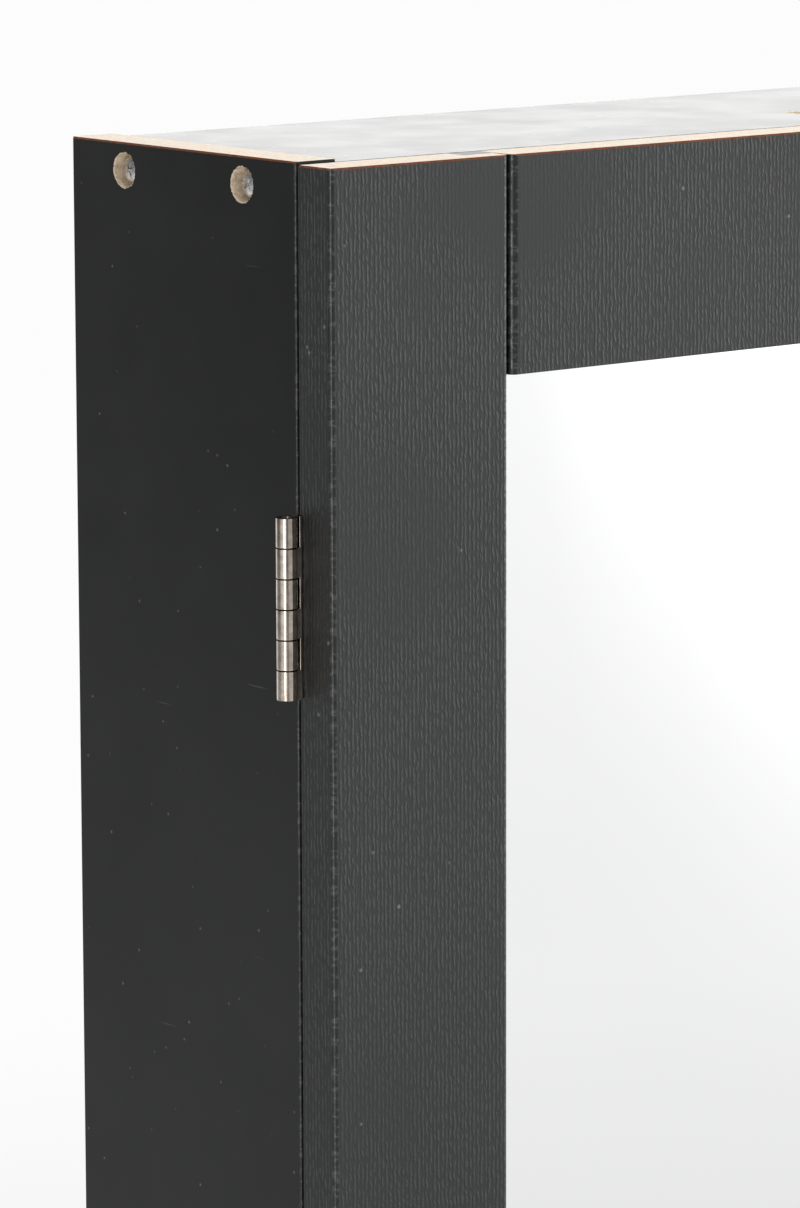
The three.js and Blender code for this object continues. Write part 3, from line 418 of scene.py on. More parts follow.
def makePlating(name, values, low, high):
    made, shader, surface, place = newMaterial(name, Metallic=1.0)
    marks = shader.group(effects["scratches"], Place=place, Along=260.0)
    blotch = shader.span(marks.outputs["Blotch"], 0.35, 0.65)
    shader.link(shader.between(blotch, values, low, high), surface["Base Color"])
    low, high = values["roughness"]
    shader.link(shader.span(marks.outputs["Lines"], 0.0, 1.0, low, high), surface["Roughness"])
    ripple = shader.noise(shader.stretch(place, (160.0, 160.0, 420.0)), 1.0, 2.0)
    dents = shader.bump(ripple, 0.25, 0.03 * mm)
    shader.link(shader.bump(marks.outputs["Lines"], 0.05, 0.01 * mm, dents), surface["Normal"])
    return made


zinc = {"bright": (0.96, 0.955, 0.945), "dull": (0.66, 0.64, 0.61), "roughness": (0.18, 0.38)}


def makeZinc():
    made, shader, surface, place = newMaterial("zinc", Metallic=1.0)
    marks = shader.group(effects["scratches"], Place=place, Along=4000.0)
    blotch = shader.span(marks.outputs["Blotch"], 0.4, 0.62)
    shader.link(shader.between(blotch, zinc, "dull", "bright"), surface["Base Color"])
    low, high = zinc["roughness"]
    shader.link(shader.span(marks.outputs["Blotch"], 0.35, 0.65, high, low), surface["Roughness"])
    shader.link(shader.bump(marks.outputs["Lines"], 0.3, 0.05 * mm), surface["Normal"])
    return made


mirror = {"silver": (0.955, 0.962, 0.958), "haze": (0.945, 0.955, 0.95), "roughness": (0.004, 0.02)}


def makeMirror():
    made, shader, surface, place = newMaterial("mirror", Metallic=1.0)
    haze = shader.span(shader.noise(place, 9.0, 2.0), 0.45, 0.75)
    shader.link(shader.between(haze, mirror, "silver", "haze"), surface["Base Color"])
    low, high = mirror["roughness"]
    shader.link(shader.span(haze, 0.0, 1.0, low, high), surface["Roughness"])
    return made


velvet = {"deep": (0.0095, 0.0095, 0.0105), "lit": (0.021, 0.021, 0.023)}


def makeVelvet():
    made, shader, surface, place = newMaterial(
        "velvet", Roughness=0.95, Specular_IOR_Level=0.1, Sheen_Weight=0.35, Sheen_Roughness=0.45)
    pile = shader.noise(place, 2200.0, 2.0, 0.6)
    nap = shader.span(shader.noise(place, 16.0, 2.0, 0.5), 0.25, 0.75)
    shade = shader.math("ADD", shader.math("MULTIPLY", nap, 0.35), shader.math("MULTIPLY", pile, 0.6))
    shader.link(shader.between(shade, velvet, "deep", "lit"), surface["Base Color"])
    shader.link(shader.bump(pile, 0.5, 0.2 * mm), surface["Normal"])
    return made


hardboard = {"dark": (0.115, 0.068, 0.038), "light": (0.235, 0.150, 0.090)}
beech = {"dark": (0.40, 0.235, 0.115), "light": (0.66, 0.44, 0.25)}


def makeBeech():
    made, shader, surface, place = newMaterial("beech", Roughness=0.6)
    grain = shader.noise(shader.stretch(place, (60.0, 900.0, 900.0)), 1.0, 3.0, 0.6, 0.3)
    tone = shader.between(shader.span(grain, 0.3, 0.7), beech, "dark", "light")
    shader.link(tone, surface["Base Color"])
    shader.link(shader.bump(grain, 0.3, 0.1 * mm), surface["Normal"])
    return made


plastic = {"base": (0.013, 0.013, 0.014), "worn": (0.03, 0.03, 0.031)}


def makePlastic():
    made, shader, surface, place = newMaterial("black plastic", Specular_IOR_Level=0.5)
    spark = shader.noise(place, 3200.0, 1.0)
    shader.link(shader.between(spark, plastic, "base", "worn"), surface["Base Color"])
    shader.link(shader.span(spark, 0.3, 0.7, 0.38, 0.5), surface["Roughness"])
    shader.link(shader.bump(spark, 0.25, 0.05 * mm), surface["Normal"])
    return made


materials = {
    "smooth_foil": makeSmoothFoil(),
    "grained_foil": makeGrainedFoil(),
    "folded_foil_painted_highlight": makeFoldedFoilHighlight(),
    "raw_board": makeBoard("raw board", rawBoard),
    "sawn_board_painted_lit": makeBoard("sawn board painted lit", sawnBoardPaintedLit),
    "burnt_edge": makeBoard("burnt edge", burntEdge),
    "hardboard": makeBoard("hardboard", hardboard),
    "nickel": makePlating("nickel", nickel, "dull", "bright"),
    "cut_metal_painted_shade": makePlating("cut metal painted shade", cutMetalPaintedShade, "dark", "light"),
    "zinc_steel": makeZinc(),
    "mirror": makeMirror(),
    "velvet": makeVelvet(),
    "beech": makeBeech(),
    "black_plastic": makePlastic(),
}
print("materials made")


# Shape helpers

def addBox(shape, low, high, slot=0):
    verts = bmesh.ops.create_cube(shape, size=1.0)["verts"]
    bmesh.ops.scale(shape, vec=Vector(high) - Vector(low), verts=verts)
    bmesh.ops.translate(shape, vec=(Vector(high) + Vector(low)) / 2, verts=verts)
    for face in {face for vert in verts for face in vert.link_faces}:
        face.material_index = slot
    return verts


def addRod(shape, radiusLow, radiusHigh, start, end, steps=48, slot=0):
    # A turned piece between two points, which may taper.
    along = Vector(end) - Vector(start)
    turn = Vector((0, 0, 1)).rotation_difference(along).to_matrix().to_4x4()
    turn.translation = (Vector(start) + Vector(end)) / 2
    verts = bmesh.ops.create_cone(
        shape, cap_ends=True, segments=steps, radius1=radiusLow, radius2=radiusHigh,
        depth=along.length, matrix=turn)["verts"]
    for face in {face for vert in verts for face in vert.link_faces}:
        face.material_index = slot
    return verts


def edgesAlong(shape, axis, where=None):
    found = []
    for edge in shape.edges:
        run = edge.verts[1].co - edge.verts[0].co
        middle = (edge.verts[0].co + edge.verts[1].co) / 2
        if abs(run[axis]) > 0.99 * run.length and (where is None or where(middle)):
            found.append(edge)
    return found


def roundEdges(shape, edges, radius, steps, slot=None):
    made = bmesh.ops.bevel(
        shape, geom=edges, offset=radius, offset_type="OFFSET", affect="EDGES",
        segments=steps, profile=0.5, material=-1, clamp_overlap=True)
    if slot is not None:
        for face in made["faces"]:
            face.material_index = slot


def spinProfile(shape, points, centre, axis, steps=48, slot=0):
    # Turns an outline of (radius, height) points. It runs from axis to axis, or else closes on itself.
    turn = Vector((0, 0, 1)).rotation_difference(Vector(axis)).to_matrix()
    verts = [
        shape.verts.new(Vector(centre) + turn @ Vector((radius, 0, height))) for radius, height in points]
    pairs = list(zip(verts, verts[1:]))
    if points[0][0] > 1e-7:
        pairs.append((verts[-1], verts[0]))
    edges = [shape.edges.new(pair) for pair in pairs]
    before = set(shape.faces)
    bmesh.ops.spin(
        shape, geom=verts + edges, cent=Vector(centre), axis=turn @ Vector((0, 0, 1)),
        angle=2 * math.pi, steps=steps, use_merge=True, dvec=(0, 0, 0))
    faces = [face for face in shape.faces if face not in before]
    for face in faces:
        face.material_index = slot
    made = list({vert for face in faces for vert in face.verts})
    bmesh.ops.remove_doubles(shape, verts=made, dist=1e-6)
    bmesh.ops.recalc_face_normals(shape, faces=[face for face in shape.faces if face not in before])


def plateFrom(shape, outline, axis, low, high, slot=0):
    # A flat plate from an outline of two coordinates, drawn out along the third axis.
    others = [index for index in range(3) if index != axis]
    verts = []
    for point in outline:
        place = Vector()
        place[others[0]], place[others[1]] = point
        place[axis] = low
        verts.append(shape.verts.new(place))
    face = shape.faces.new(verts)
    drawn = bmesh.ops.extrude_face_region(shape, geom=[face])["geom"]
    top = [item for item in drawn if isinstance(item, bmesh.types.BMVert)]
    shift = Vector()
    shift[axis] = high - low
    bmesh.ops.translate(shape, vec=shift, verts=top)
    faces = {linked for vert in verts + top for linked in vert.link_faces}
    for linked in faces:
        linked.material_index = slot
    bmesh.ops.recalc_face_normals(shape, faces=list(faces))
    return verts + top


def edgeCutter(axis, corner, inward, size, low, high, slot):
    # A wedge that takes the corner off an edge along one axis and leaves a flat of its own slot.
    edge, spare = Vector(corner), mm
    first, second = Vector((inward[0], 0)), Vector((0, inward[1]))
    outline = [
        edge + first * (size + spare) - second * spare,
        edge + second * (size + spare) - first * spare,
        edge - (first + second) * spare]
    shape = bmesh.new()
    plateFrom(shape, outline, axis, low - spare, high + spare, slot)
    return shape


def meshObject(shape, name, slots):
    mesh = bpy.data.meshes.new(name)
    shape.to_mesh(mesh)
    shape.free()
    for slot in slots:
        mesh.materials.append(materials[slot])
    made = bpy.data.objects.new(name, mesh)
    bpy.context.scene.collection.objects.link(made)
    return made


def applied(made):
    # Bakes the object's modifiers into its mesh.
    graph = bpy.context.evaluated_depsgraph_get()
    mesh = bpy.data.meshes.new_from_object(made.evaluated_get(graph))
    old = made.data
    made.modifiers.clear()
    made.data = mesh
    mesh.name = made.name
    bpy.data.meshes.remove(old)


def combine(made, tools, operation="DIFFERENCE"):
    # Cuts or joins the tool shapes with a piece; a tool's faces keep their own material slot.
    slots = [slot.material for slot in made.material_slots]
    cutters = []
    for tool in tools:
        mesh = bpy.data.meshes.new("tool")
        tool.to_mesh(mesh)
        tool.free()
        for slot in slots:
            mesh.materials.append(slot)
        cutter = bpy.data.objects.new("tool", mesh)
        bpy.context.scene.collection.objects.link(cutter)
        modifier = made.modifiers.new("combine", "BOOLEAN")
        modifier.operation = operation
        modifier.solver = "EXACT"
        modifier.object = cutter
        cutters.append(cutter)
    applied(made)
    for cutter in cutters:
        mesh = cutter.data
        bpy.data.objects.remove(cutter)
        bpy.data.meshes.remove(mesh)


def finishPiece(made, body, replaced=(), sharpAngle=35.0):
    for polygon in made.data.polygons:
        polygon.use_smooth = True
    made.data.set_sharp_from_angle(angle=math.radians(sharpAngle))
    weighted = made.modifiers.new("weighted", "WEIGHTED_NORMAL")
    weighted.keep_sharp = True
    applied(made)
    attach(made, body)
    if replaced:
        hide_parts(*replaced)
    return made


def middleOf(node):
    low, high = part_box(node)
    return (Vector(low) + Vector(high)) / 2


# Carcass

carcassBoard = {
    "edgeRadius": 0.6 * mm,
    "edgeSteps": 4,
    "burntChamfer": 0.45 * mm,
    "counterbore": 4.15 * mm,
    "counterboreDepth": 4.3 * mm,
    "rimFlare": 0.22 * mm,
    "rimRagged": 0.16 * mm,
    "boreSteps": 72,
    "screwHole": 2.2 * mm,
    "mortiseGap": 0.12 * mm,
    "grooveDepth": 4.0 * mm,
    "camPocket": ((173.0, -80.1, -521.4), (181.0, -75.7, -498.0)),     # millimetres
}
hinge = {
    "axis": (-188.5 * mm, -87.6 * mm),
    "knuckles": 6,
    "radius": 2.55 * mm,
    "gap": 0.2 * mm,
    "endRound": 0.16 * mm,
    "bore": 1.42 * mm,
    "barrelSides": 64,
    "pin": 1.3 * mm,
    "pinChamfer": 0.25 * mm,
    "pinSides": 40,
    "lipStart": 2.75 * mm,
    "lipEnd": 3.42 * mm,
    "lipRise": 1.5 * mm,
    "neckStart": 1.75 * mm,
    "standingRound": 0.16 * mm,
    "leafReach": 13.0 * mm,
    "leafCorner": 1.2 * mm,
    "leafThickness": 0.9 * mm,
    "leafGap": 0.2 * mm,
    "screwShares": (0.2, 0.8),     # up the leaf
    "screwReach": 7.85 * mm,
}
# Slot 3 is the sawn board painted paler, as painted light on the ends.
carcassSlots = ["smooth_foil", "raw_board", "folded_foil_painted_highlight", "sawn_board_painted_lit", "burnt_edge"]
dice = random.Random(7)


def raggedBore(surface, inward, thickness):
    # A drilled and counterbored hole whose mouth has torn the foil.
    values = carcassBoard
    shape = bmesh.new()
    radius, flare, above = values["counterbore"], values["rimFlare"], 2 * mm
    profile = [
        (0, above), (radius + flare, above), (radius + flare, 0.01 * mm), (radius, -flare),
        (radius, -values["counterboreDepth"]), (values["screwHole"], -values["counterboreDepth"]),
        (values["screwHole"], -thickness - above), (0, -thickness - above)]
    out = -Vector(inward)
    steps = values["boreSteps"]
    spinProfile(shape, profile, surface, out, steps, 1)
    torn = [dice.uniform(-1, 1) * values["rimRagged"] for step in range(steps)]
    side = out.orthogonal().normalized()
    up = out.cross(side)
    for vert in shape.verts:
        height = (vert.co - Vector(surface)).dot(out)
        radial = vert.co - Vector(surface) - out * height
        if height > -flare / 2 and radial.length > radius / 2:
            turn = math.atan2(radial.dot(up), radial.dot(side)) / (2 * math.pi)
            vert.co += radial.normalized() * torn[round(turn * steps) % steps]
    return shape


def boxTool(low, high, slot=1):
    shape = bmesh.new()
    low, high = [min(pair) for pair in zip(low, high)], [max(pair) for pair in zip(low, high)]
    addBox(shape, low, high, slot)
    return shape


def makeSidePanel(name, side):
    low, high = (Vector(corner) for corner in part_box(name))
    values = carcassBoard
    outer, inner = (low.x, high.x) if side < 0 else (high.x, low.x)
    shape = bmesh.new()
    addBox(shape, low, high)
    # The ends take slot 3, the board painted paler as painted light.
    for face in shape.faces:
        if abs(face.normal.z) > 0.5:
            face.material_index = 3      # the sawn ends show the board
    folded = edgesAlong(shape, 2, lambda middle: middle.y < high.y - mm or abs(middle.x - outer) > mm)
    roundEdges(shape, folded, values["edgeRadius"], values["edgeSteps"], 2)
    made = meshObject(shape, name + "_board", carcassSlots)
    worn = values["burntChamfer"]
    tools = [edgeCutter(2, (outer, high.y), (-side, -1), worn, low.z, high.z, 4)]
    for end, up in ((high.z, -1), (low.z, 1)):
        tools.append(edgeCutter(1, (outer, end), (-side, up), worn, low.y, high.y, 4))
    sideName = "left" if side < 0 else "right"
    for place in ("top_front", "top_back", "bottom_front", "bottom_back"):
        centre = middleOf(f"panel_screw_{sideName}_{place}")
        tools.append(raggedBore((outer, centre.y, centre.z), (-side, 0, 0), abs(outer - inner)))
    gap = values["mortiseGap"]
    past = inner - side * mm
    deep = inner + side * values["grooveDepth"]
    backLow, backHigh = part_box("back_panel")
    tools.append(boxTool(
        (past, backLow.y - gap, backLow.z - gap), (deep, backHigh.y + gap, backHigh.z + gap)))
    for shelf in ("shelf_upper", "shelf_middle", "shelf_lower"):
        shelfLow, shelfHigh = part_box(shelf)
        tools.append(boxTool(
            (past, shelfLow.y, shelfLow.z - gap / 2), (deep, shelfHigh.y, shelfHigh.z + gap / 2)))
    if side < 0:
        for place in ("top", "middle", "bottom"):
            leafLow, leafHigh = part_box(f"hinge_{place}_frame_leaf")
            back = hinge["axis"][1] + hinge["leafGap"] / 2 + hinge["leafThickness"]
            tools.append(boxTool(
                (low.x - 3 * mm, low.y - mm, leafLow.z - gap), (leafHigh.x + gap, back, leafHigh.z + gap)))
    else:
        pocketLow, pocketHigh = (Vector(corner) * mm for corner in values["camPocket"])
        pocketLow.x = past
        tools.append(boxTool(pocketLow, pocketHigh))
    combine(made, tools)
    return finishPiece(made, "cabinet", [name])


def makeEndPanel(name):
    low, high = (Vector(corner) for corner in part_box(name))
    values = carcassBoard
    shape = bmesh.new()
    addBox(shape, low, high)
    roundEdges(shape, edgesAlong(shape, 0), values["edgeRadius"], values["edgeSteps"], 2)
    made = meshObject(shape, name + "_board", carcassSlots)
    if name == "top_panel":
        centre = middleOf("divider_screw")
        combine(made, [raggedBore((centre.x, centre.y, high.z), (0, 0, -1), high.z - low.z)])
    return finishPiece(made, "cabinet", [name])


makeSidePanel("side_panel_left", -1)
makeSidePanel("side_panel_right", 1)
makeEndPanel("top_panel")
makeEndPanel("bottom_panel")


def makeFlatBoard(name, body, frontLook, rearLook):
    # A thin board whose front and rear are finished differently.
    low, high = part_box(name)
    shape = bmesh.new()
    addBox(shape, low, high)
    for face in shape.faces:
        if face.normal.y > -0.5:
            face.material_index = 1
    roundEdges(shape, list(shape.edges), 0.25 * mm, 2)
    made = meshObject(shape, name + "_sheet", [frontLook, rearLook])
    return finishPiece(made, body, [name])


makeFlatBoard("back_panel", "cabinet", "velvet", "hardboard")
print("carcass made")


# Door frame

doorFrame = {
    "arris": 1.2 * mm,
    "arrisSteps": 8,
    "innerArris": 1.6 * mm,
    "railEndArris": 2.0 * mm,
    "widened": 0.9 * mm,       # the stiles beyond their plain width
    "shoulderGap": 0.75 * mm,
    "burntChamfer": 0.45 * mm,
    "rebate": 8.0 * mm,
    "lip": 6.0 * mm,
    "tongueGap": 0.1 * mm,
    "lockHole": 8.3 * mm,
}
# Slot 3 is the sawn board painted paler, as painted light on the ends.
frameSlots = ["grained_foil", "raw_board", "folded_foil_painted_highlight", "sawn_board_painted_lit", "burnt_edge"]


def frontEdges(shape, axis, frontY, where=None):
    def wanted(middle):
        return abs(middle.y - frontY) < mm and (where is None or where(middle))

    return edgesAlong(shape, axis, wanted)


def paintEnds(shape, slot, up=None):
    for face in shape.faces:
        if abs(face.normal.z) > 0.5 and (up is None or face.normal.z * up > 0):
            face.material_index = slot


def makeStile(name, side):
    low, high = (Vector(corner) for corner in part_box(name))
    values = doorFrame
    rebateEnd = (high.x if side < 0 else low.x) + side * values["rebate"]
    if side < 0:
        high.x += values["widened"]
    else:
        low.x -= values["widened"]
    inner, outer = (high.x, low.x) if side < 0 else (low.x, high.x)
    shape = bmesh.new()
    addBox(shape, low, high)
    paintEnds(shape, 3)
    for edge, radius in ((outer, values["arris"]), (inner, values["innerArris"])):
        arris = frontEdges(shape, 2, low.y, lambda middle: abs(middle.x - edge) < mm)
        roundEdges(shape, arris, radius, values["arrisSteps"], 2)
    made = meshObject(shape, name + "_profile", frameSlots)
    tools, worn = [], values["burntChamfer"]
    for end, up in ((high.z, -1), (low.z, 1)):
        tools.append(edgeCutter(0, (low.y, end), (1, up), worn, low.x, high.x, 4))
        if side < 0:
            tools.append(edgeCutter(1, (low.x, end), (1, up), worn, low.y, high.y, 4))
    tools.append(boxTool(
        (inner - side * mm, low.y + values["lip"], low.z - mm), (rebateEnd, high.y + mm, high.z + mm), 0))
    if side < 0:
        gap = carcassBoard["mortiseGap"]
        front = hinge["axis"][1] - hinge["leafGap"] / 2 - hinge["leafThickness"]
        for place in ("top", "middle", "bottom"):
            leafLow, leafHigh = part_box(f"hinge_{place}_door_leaf")
            tools.append(boxTool(
                (low.x - 3 * mm, front, leafLow.z - gap),
                (leafHigh.x + gap, high.y + mm, leafHigh.z + gap)))
    else:
        centre = middleOf("lock_housing")
        hole = bmesh.new()
        addRod(hole, values["lockHole"], values["lockHole"],
               (centre.x, low.y - mm, centre.z), (centre.x, high.y + mm, centre.z), 48, 1)
        tools.append(hole)
    combine(made, tools)
    return finishPiece(made, "door", [name])


def makeRail(name, side):
    low, high = (Vector(corner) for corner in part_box(name))
    values = doorFrame
    tongueLow, tongueHigh = low.copy(), high.copy()
    low.x += values["rebate"] + values["widened"] + values["shoulderGap"]
    high.x -= values["rebate"] + values["widened"] + values["shoulderGap"]
    shape = bmesh.new()
    addBox(shape, low, high)
    paintEnds(shape, 3, side)
    middleZ = (low.z + high.z) / 2
    roundEdges(shape, frontEdges(shape, 2, low.y), values["railEndArris"], values["arrisSteps"], 2)
    inside = frontEdges(shape, 0, low.y, lambda middle: (middle.z - middleZ) * side < 0)
    roundEdges(shape, inside, values["arris"], values["arrisSteps"], 2)
    made = meshObject(shape, name + "_profile", frameSlots)
    inner, outer = (low.z, high.z) if side > 0 else (high.z, low.z)
    worn = edgeCutter(0, (low.y, outer), (1, -side), values["burntChamfer"], low.x, high.x, 4)
    combine(made, [worn, boxTool(
        (low.x - mm, low.y + values["lip"], inner - side * mm),
        (high.x + mm, high.y + mm, inner + side * values["rebate"]), 0)])
    tongueLow.y = low.y + values["lip"] + values["tongueGap"]
    if side > 0:
        tongueLow.z = low.z + values["rebate"]
    else:
        tongueHigh.z = high.z - values["rebate"]
    combine(made, [boxTool(tongueLow, tongueHigh, 0)], "UNION")
    return finishPiece(made, "door", [name])


makeStile("door_stile_left", -1)
makeStile("door_stile_right", 1)
makeRail("door_rail_top", 1)
makeRail("door_rail_bottom", -1)
makeFlatBoard("mirror_backing", "door", "hardboard", "velvet")
print("door frame made")


# Screws

panHead = {
    "head": 3.45 * mm, "headHeight": 2.9 * mm, "flat": False, "shank": 1.7 * mm, "length": 31.7 * mm,
    "pitch": 1.5 * mm, "recess": 2.1 * mm, "recessWidth": 0.75 * mm, "recessDepth": 1.5 * mm}
machineHead = {
    "head": 3.6 * mm, "headHeight": 1.8 * mm, "flat": False, "shank": 1.5 * mm, "length": 5.9 * mm,
    "pitch": 0.6 * mm, "recess": 1.9 * mm, "recessWidth": 0.75 * mm, "recessDepth": 1.1 * mm}
flatHead = {
    "head": 2.2 * mm, "headHeight": 0.0, "flat": True, "shank": 1.15 * mm, "length": 7.6 * mm,
    "pitch": 0.9 * mm, "recess": 1.25 * mm, "recessWidth": 0.5 * mm, "recessDepth": 0.9 * mm}
headCrown = [      # shares of the head's radius and height, from the middle outwards
    (0.0, 1.0), (0.3, 0.985), (0.55, 0.945), (0.75, 0.885), (0.88, 0.8), (0.96, 0.68), (1.0, 0.5),
    (1.0, 0.04), (0.97, 0.0)]
screwDetail = {
    "rim": 0.08 * mm,          # the thin edge of a flat head
    "cone": 0.9,               # a flat head's depth, as a share of its overhang
    "flatNeck": 0.4 * mm,      # plain shank below the head
    "roundNeck": 0.8 * mm,
    "root": 0.78,              # the thread's root, in shank radii
    "point": 2.2,              # the point's length, in shank radii
    "sides": 40,
    "recessFloor": (0.35, 0.7),      # the recess's floor, as shares of its mouth
    "recessTurn": 0.6,
    "sink": (2.3 * mm, 0.9 * mm),    # the radii of a flat head's seat
    "sinkDepth": 1.4 * mm,
}


def screwShape(values):
    # A cross-recess screw that stands on the origin with its head up.
    head, height, shank, pitch = (values[key] for key in ("head", "headHeight", "shank", "pitch"))
    detail = screwDetail
    if values["flat"]:
        rim, sink = detail["rim"], (head - shank) * detail["cone"]
        points = [(0, 0), (head - rim, 0), (head, -rim), (shank, -sink)]
        z = -sink - detail["flatNeck"]
    else:
        points = [(head * share, height * rise) for share, rise in headCrown] + [(shank, 0)]
        z = -detail["roundNeck"]
    root, tip = shank * detail["root"], -values["length"]
    while z - pitch > tip + shank * detail["point"]:
        points += [(root, z), (shank, z - pitch * 0.5)]
        z -= pitch
    points += [(root, z), (0, tip)]
    shape = bmesh.new()
    spinProfile(shape, points, (0, 0, 0), (0, 0, 1), detail["sides"])
    made = meshObject(shape, "screw", ["zinc_steel"])
    tools = []
    width, reach, depth = values["recessWidth"] / 2, values["recess"], values["recessDepth"]
    for turn in (detail["recessTurn"], detail["recessTurn"] + math.pi / 2):
        tool = bmesh.new()
        verts = addBox(tool, (-reach, -width, height - depth), (reach, width, height + mm))
        for vert in verts:
            if vert.co.z < height:
                vert.co.x *= detail["recessFloor"][0]
                vert.co.y *= detail["recessFloor"][1]
        bmesh.ops.rotate(tool, verts=verts, cent=(0, 0, 0), matrix=Matrix.Rotation(turn, 3, "Z"))
        tools.append(tool)
    combine(made, tools)
    mesh = made.data
    bpy.data.objects.remove(made)
    return mesh


def flatSink(at, out):
    # The seat of a flat head in a plate.
    wide, narrow = screwDetail["sink"]
    shape = bmesh.new()
    addRod(shape, wide, narrow, at + out * 0.02 * mm, at - out * screwDetail["sinkDepth"], 32)
    return shape


def placeScrew(mesh, name, at, out, body, slot, replaced=(), spin=0.0):
    shape = bmesh.new()
    shape.from_mesh(mesh)
    turn = Vector((0, 0, 1)).rotation_difference(Vector(out)).to_matrix() @ Matrix.Rotation(spin, 3, "Z")
    bmesh.ops.rotate(shape, verts=shape.verts, cent=(0, 0, 0), matrix=turn)
    bmesh.ops.translate(shape, vec=at, verts=shape.verts)
    made = meshObject(shape, name, [slot])
    return finishPiece(made, body, replaced, 40.0)


panScrew, flatScrew, machineScrew = screwShape(panHead), screwShape(flatHead), screwShape(machineHead)


def placePanelScrews():
    # They sit on the floors of the counterbores.
    seat = carcassBoard["counterboreDepth"]
    for node in sorted(frame["nodes"]):
        if node.startswith("panel_screw_"):
            at, side = middleOf(node), -1 if "left" in node else 1
            low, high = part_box("side_panel_left" if side < 0 else "side_panel_right")
            at.x = low.x + seat if side < 0 else high.x - seat
            placeScrew(panScrew, node + "_pan_head", at, (side, 0, 0),
                       "cabinet", "zinc_steel", [node], dice.uniform(0, 1.5))
    at = middleOf("divider_screw")
    at.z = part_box("top_panel")[1].z - seat
    placeScrew(panScrew, "divider_screw_pan_head", at, (0, 0, 1),
               "cabinet", "zinc_steel", ["divider_screw"], 0.4)


placePanelScrews()
print("screws made")


# Hinges

def makeLeaf(place, first, backward):
    # first says which knuckle from the top is the leaf's own, backward that it lies behind the pin.
    values = hinge
    kind = "frame" if backward else "door"
    node = f"hinge_{place}_{kind}_leaf"
    low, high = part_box(node)
    axisX, axisY = values["axis"]
    pitch = (high.z - low.z) / values["knuckles"]
    side = 1 if backward else -1
    near = axisY + side * values["leafGap"] / 2
    far = near + side * values["leafThickness"]
    front, back = min(near, far), max(near, far)
    start, end = axisX + values["lipStart"], axisX + values["leafReach"]
    shape = bmesh.new()
    addBox(shape, (start + 0.1 * mm, front, low.z), (end, back, high.z))
    corners = edgesAlong(shape, 1, lambda middle: abs(middle.x - end) < 0.1 * mm)
    roundEdges(shape, corners, values["leafCorner"], 4)
    # Slot 1 paints the plate and barrel ends near-black, as painted shade.
    made = meshObject(shape, node + "_rolled", ["nickel", "cut_metal_painted_shade"])
    inset = values["gap"] / 2

    def standing(x0, x1, rise, z0, z1):
        # A plate beside the pin that stands out of the leaf as far as its lip.
        top = axisY + side * rise
        part = boxTool((x0, near, z0), (x1, top, z1), 0)
        paintEnds(part, 1)
        edges = edgesAlong(part, 2, lambda middle: abs(middle.y - top) < 0.01 * mm)
        roundEdges(part, edges, values["standingRound"], 3)
        return part

    rise, spare = values["lipRise"], inset / 3
    tools = [standing(start, axisX + values["lipEnd"], rise, low.z + spare, high.z - spare)]
    outer, inner, ease = values["radius"], values["bore"], values["endRound"]
    for step in range(first, values["knuckles"], 2):
        top, bottom = high.z - step * pitch - inset, high.z - (step + 1) * pitch + inset
        barrel = bmesh.new()
        profile = [(inner, bottom), (outer - ease, bottom)]
        profile += [(outer - ease * (1 - math.sin(turn)), bottom + ease * (1 - math.cos(turn)))
                    for turn in (0.52, 1.05, 1.57)]
        profile += [(outer - ease * (1 - math.cos(turn)), top - ease * (1 - math.sin(turn)))
                    for turn in (0.0, 0.52, 1.05)]
        profile += [(outer - ease, top), (inner, top)]
        spinProfile(barrel, profile, (axisX, axisY, 0), (0, 0, 1), values["barrelSides"])
        paintEnds(barrel, 1)
        tools.append(barrel)
        # The neck reaches into the lip and ends just below its top.
        tools.append(standing(
            axisX + values["neckStart"], start + 0.3 * mm, rise - 0.012 * mm, bottom, top))
    combine(made, tools, "UNION")
    face, out = (front, Vector((0, -1, 0))) if backward else (back, Vector((0, 1, 0)))
    heights = [low.z + share * (high.z - low.z) for share in values["screwShares"]]
    places = [Vector((axisX + values["screwReach"], face, height)) for height in heights]
    combine(made, [flatSink(at, out) for at in places])
    body = "cabinet" if backward else "door"
    finishPiece(made, body, [node])
    for index, at in enumerate(places):
        placeScrew(flatScrew, f"{node}_screw_{index + 1}", at, out, body, "nickel", (), dice.uniform(0, 1.5))


def makePin(place):
    values = hinge
    low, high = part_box(f"hinge_{place}_pin")
    axisX, axisY = values["axis"]
    radius, chamfer = values["pin"], values["pinChamfer"]
    profile = [(0, low.z), (radius - chamfer, low.z), (radius, low.z + chamfer),
               (radius, high.z - chamfer), (radius - chamfer, high.z), (0, high.z)]
    shape = bmesh.new()
    spinProfile(shape, profile, (axisX, axisY, 0), (0, 0, 1), values["pinSides"])
    # Slot 1 paints the pin's ends near-black, as painted shade.
    paintEnds(shape, 1)
    made = meshObject(shape, f"hinge_{place}_pin_turned", ["nickel", "cut_metal_painted_shade"])
    finishPiece(made, "cabinet", [f"hinge_{place}_pin"])


for place in ("top", "middle", "bottom"):
    makeLeaf(place, 0, True)
    makeLeaf(place, 1, False)
    makePin(place)
print("hinges made")


# Necklace hooks

necklaceHook = {
    "wire": 1.2 * mm, "bend": 4.0 * mm, "reach": 15.0 * mm, "rise": 10.0 * mm, "tip": 1.9 * mm,
    "flange": 4.0 * mm, "flangeTop": 3.2 * mm, "flangeHeight": 1.0 * mm, "shank": 6.0 * mm,
    "wireSides": 20, "bendSteps": 10, "tipSides": (24, 14)}


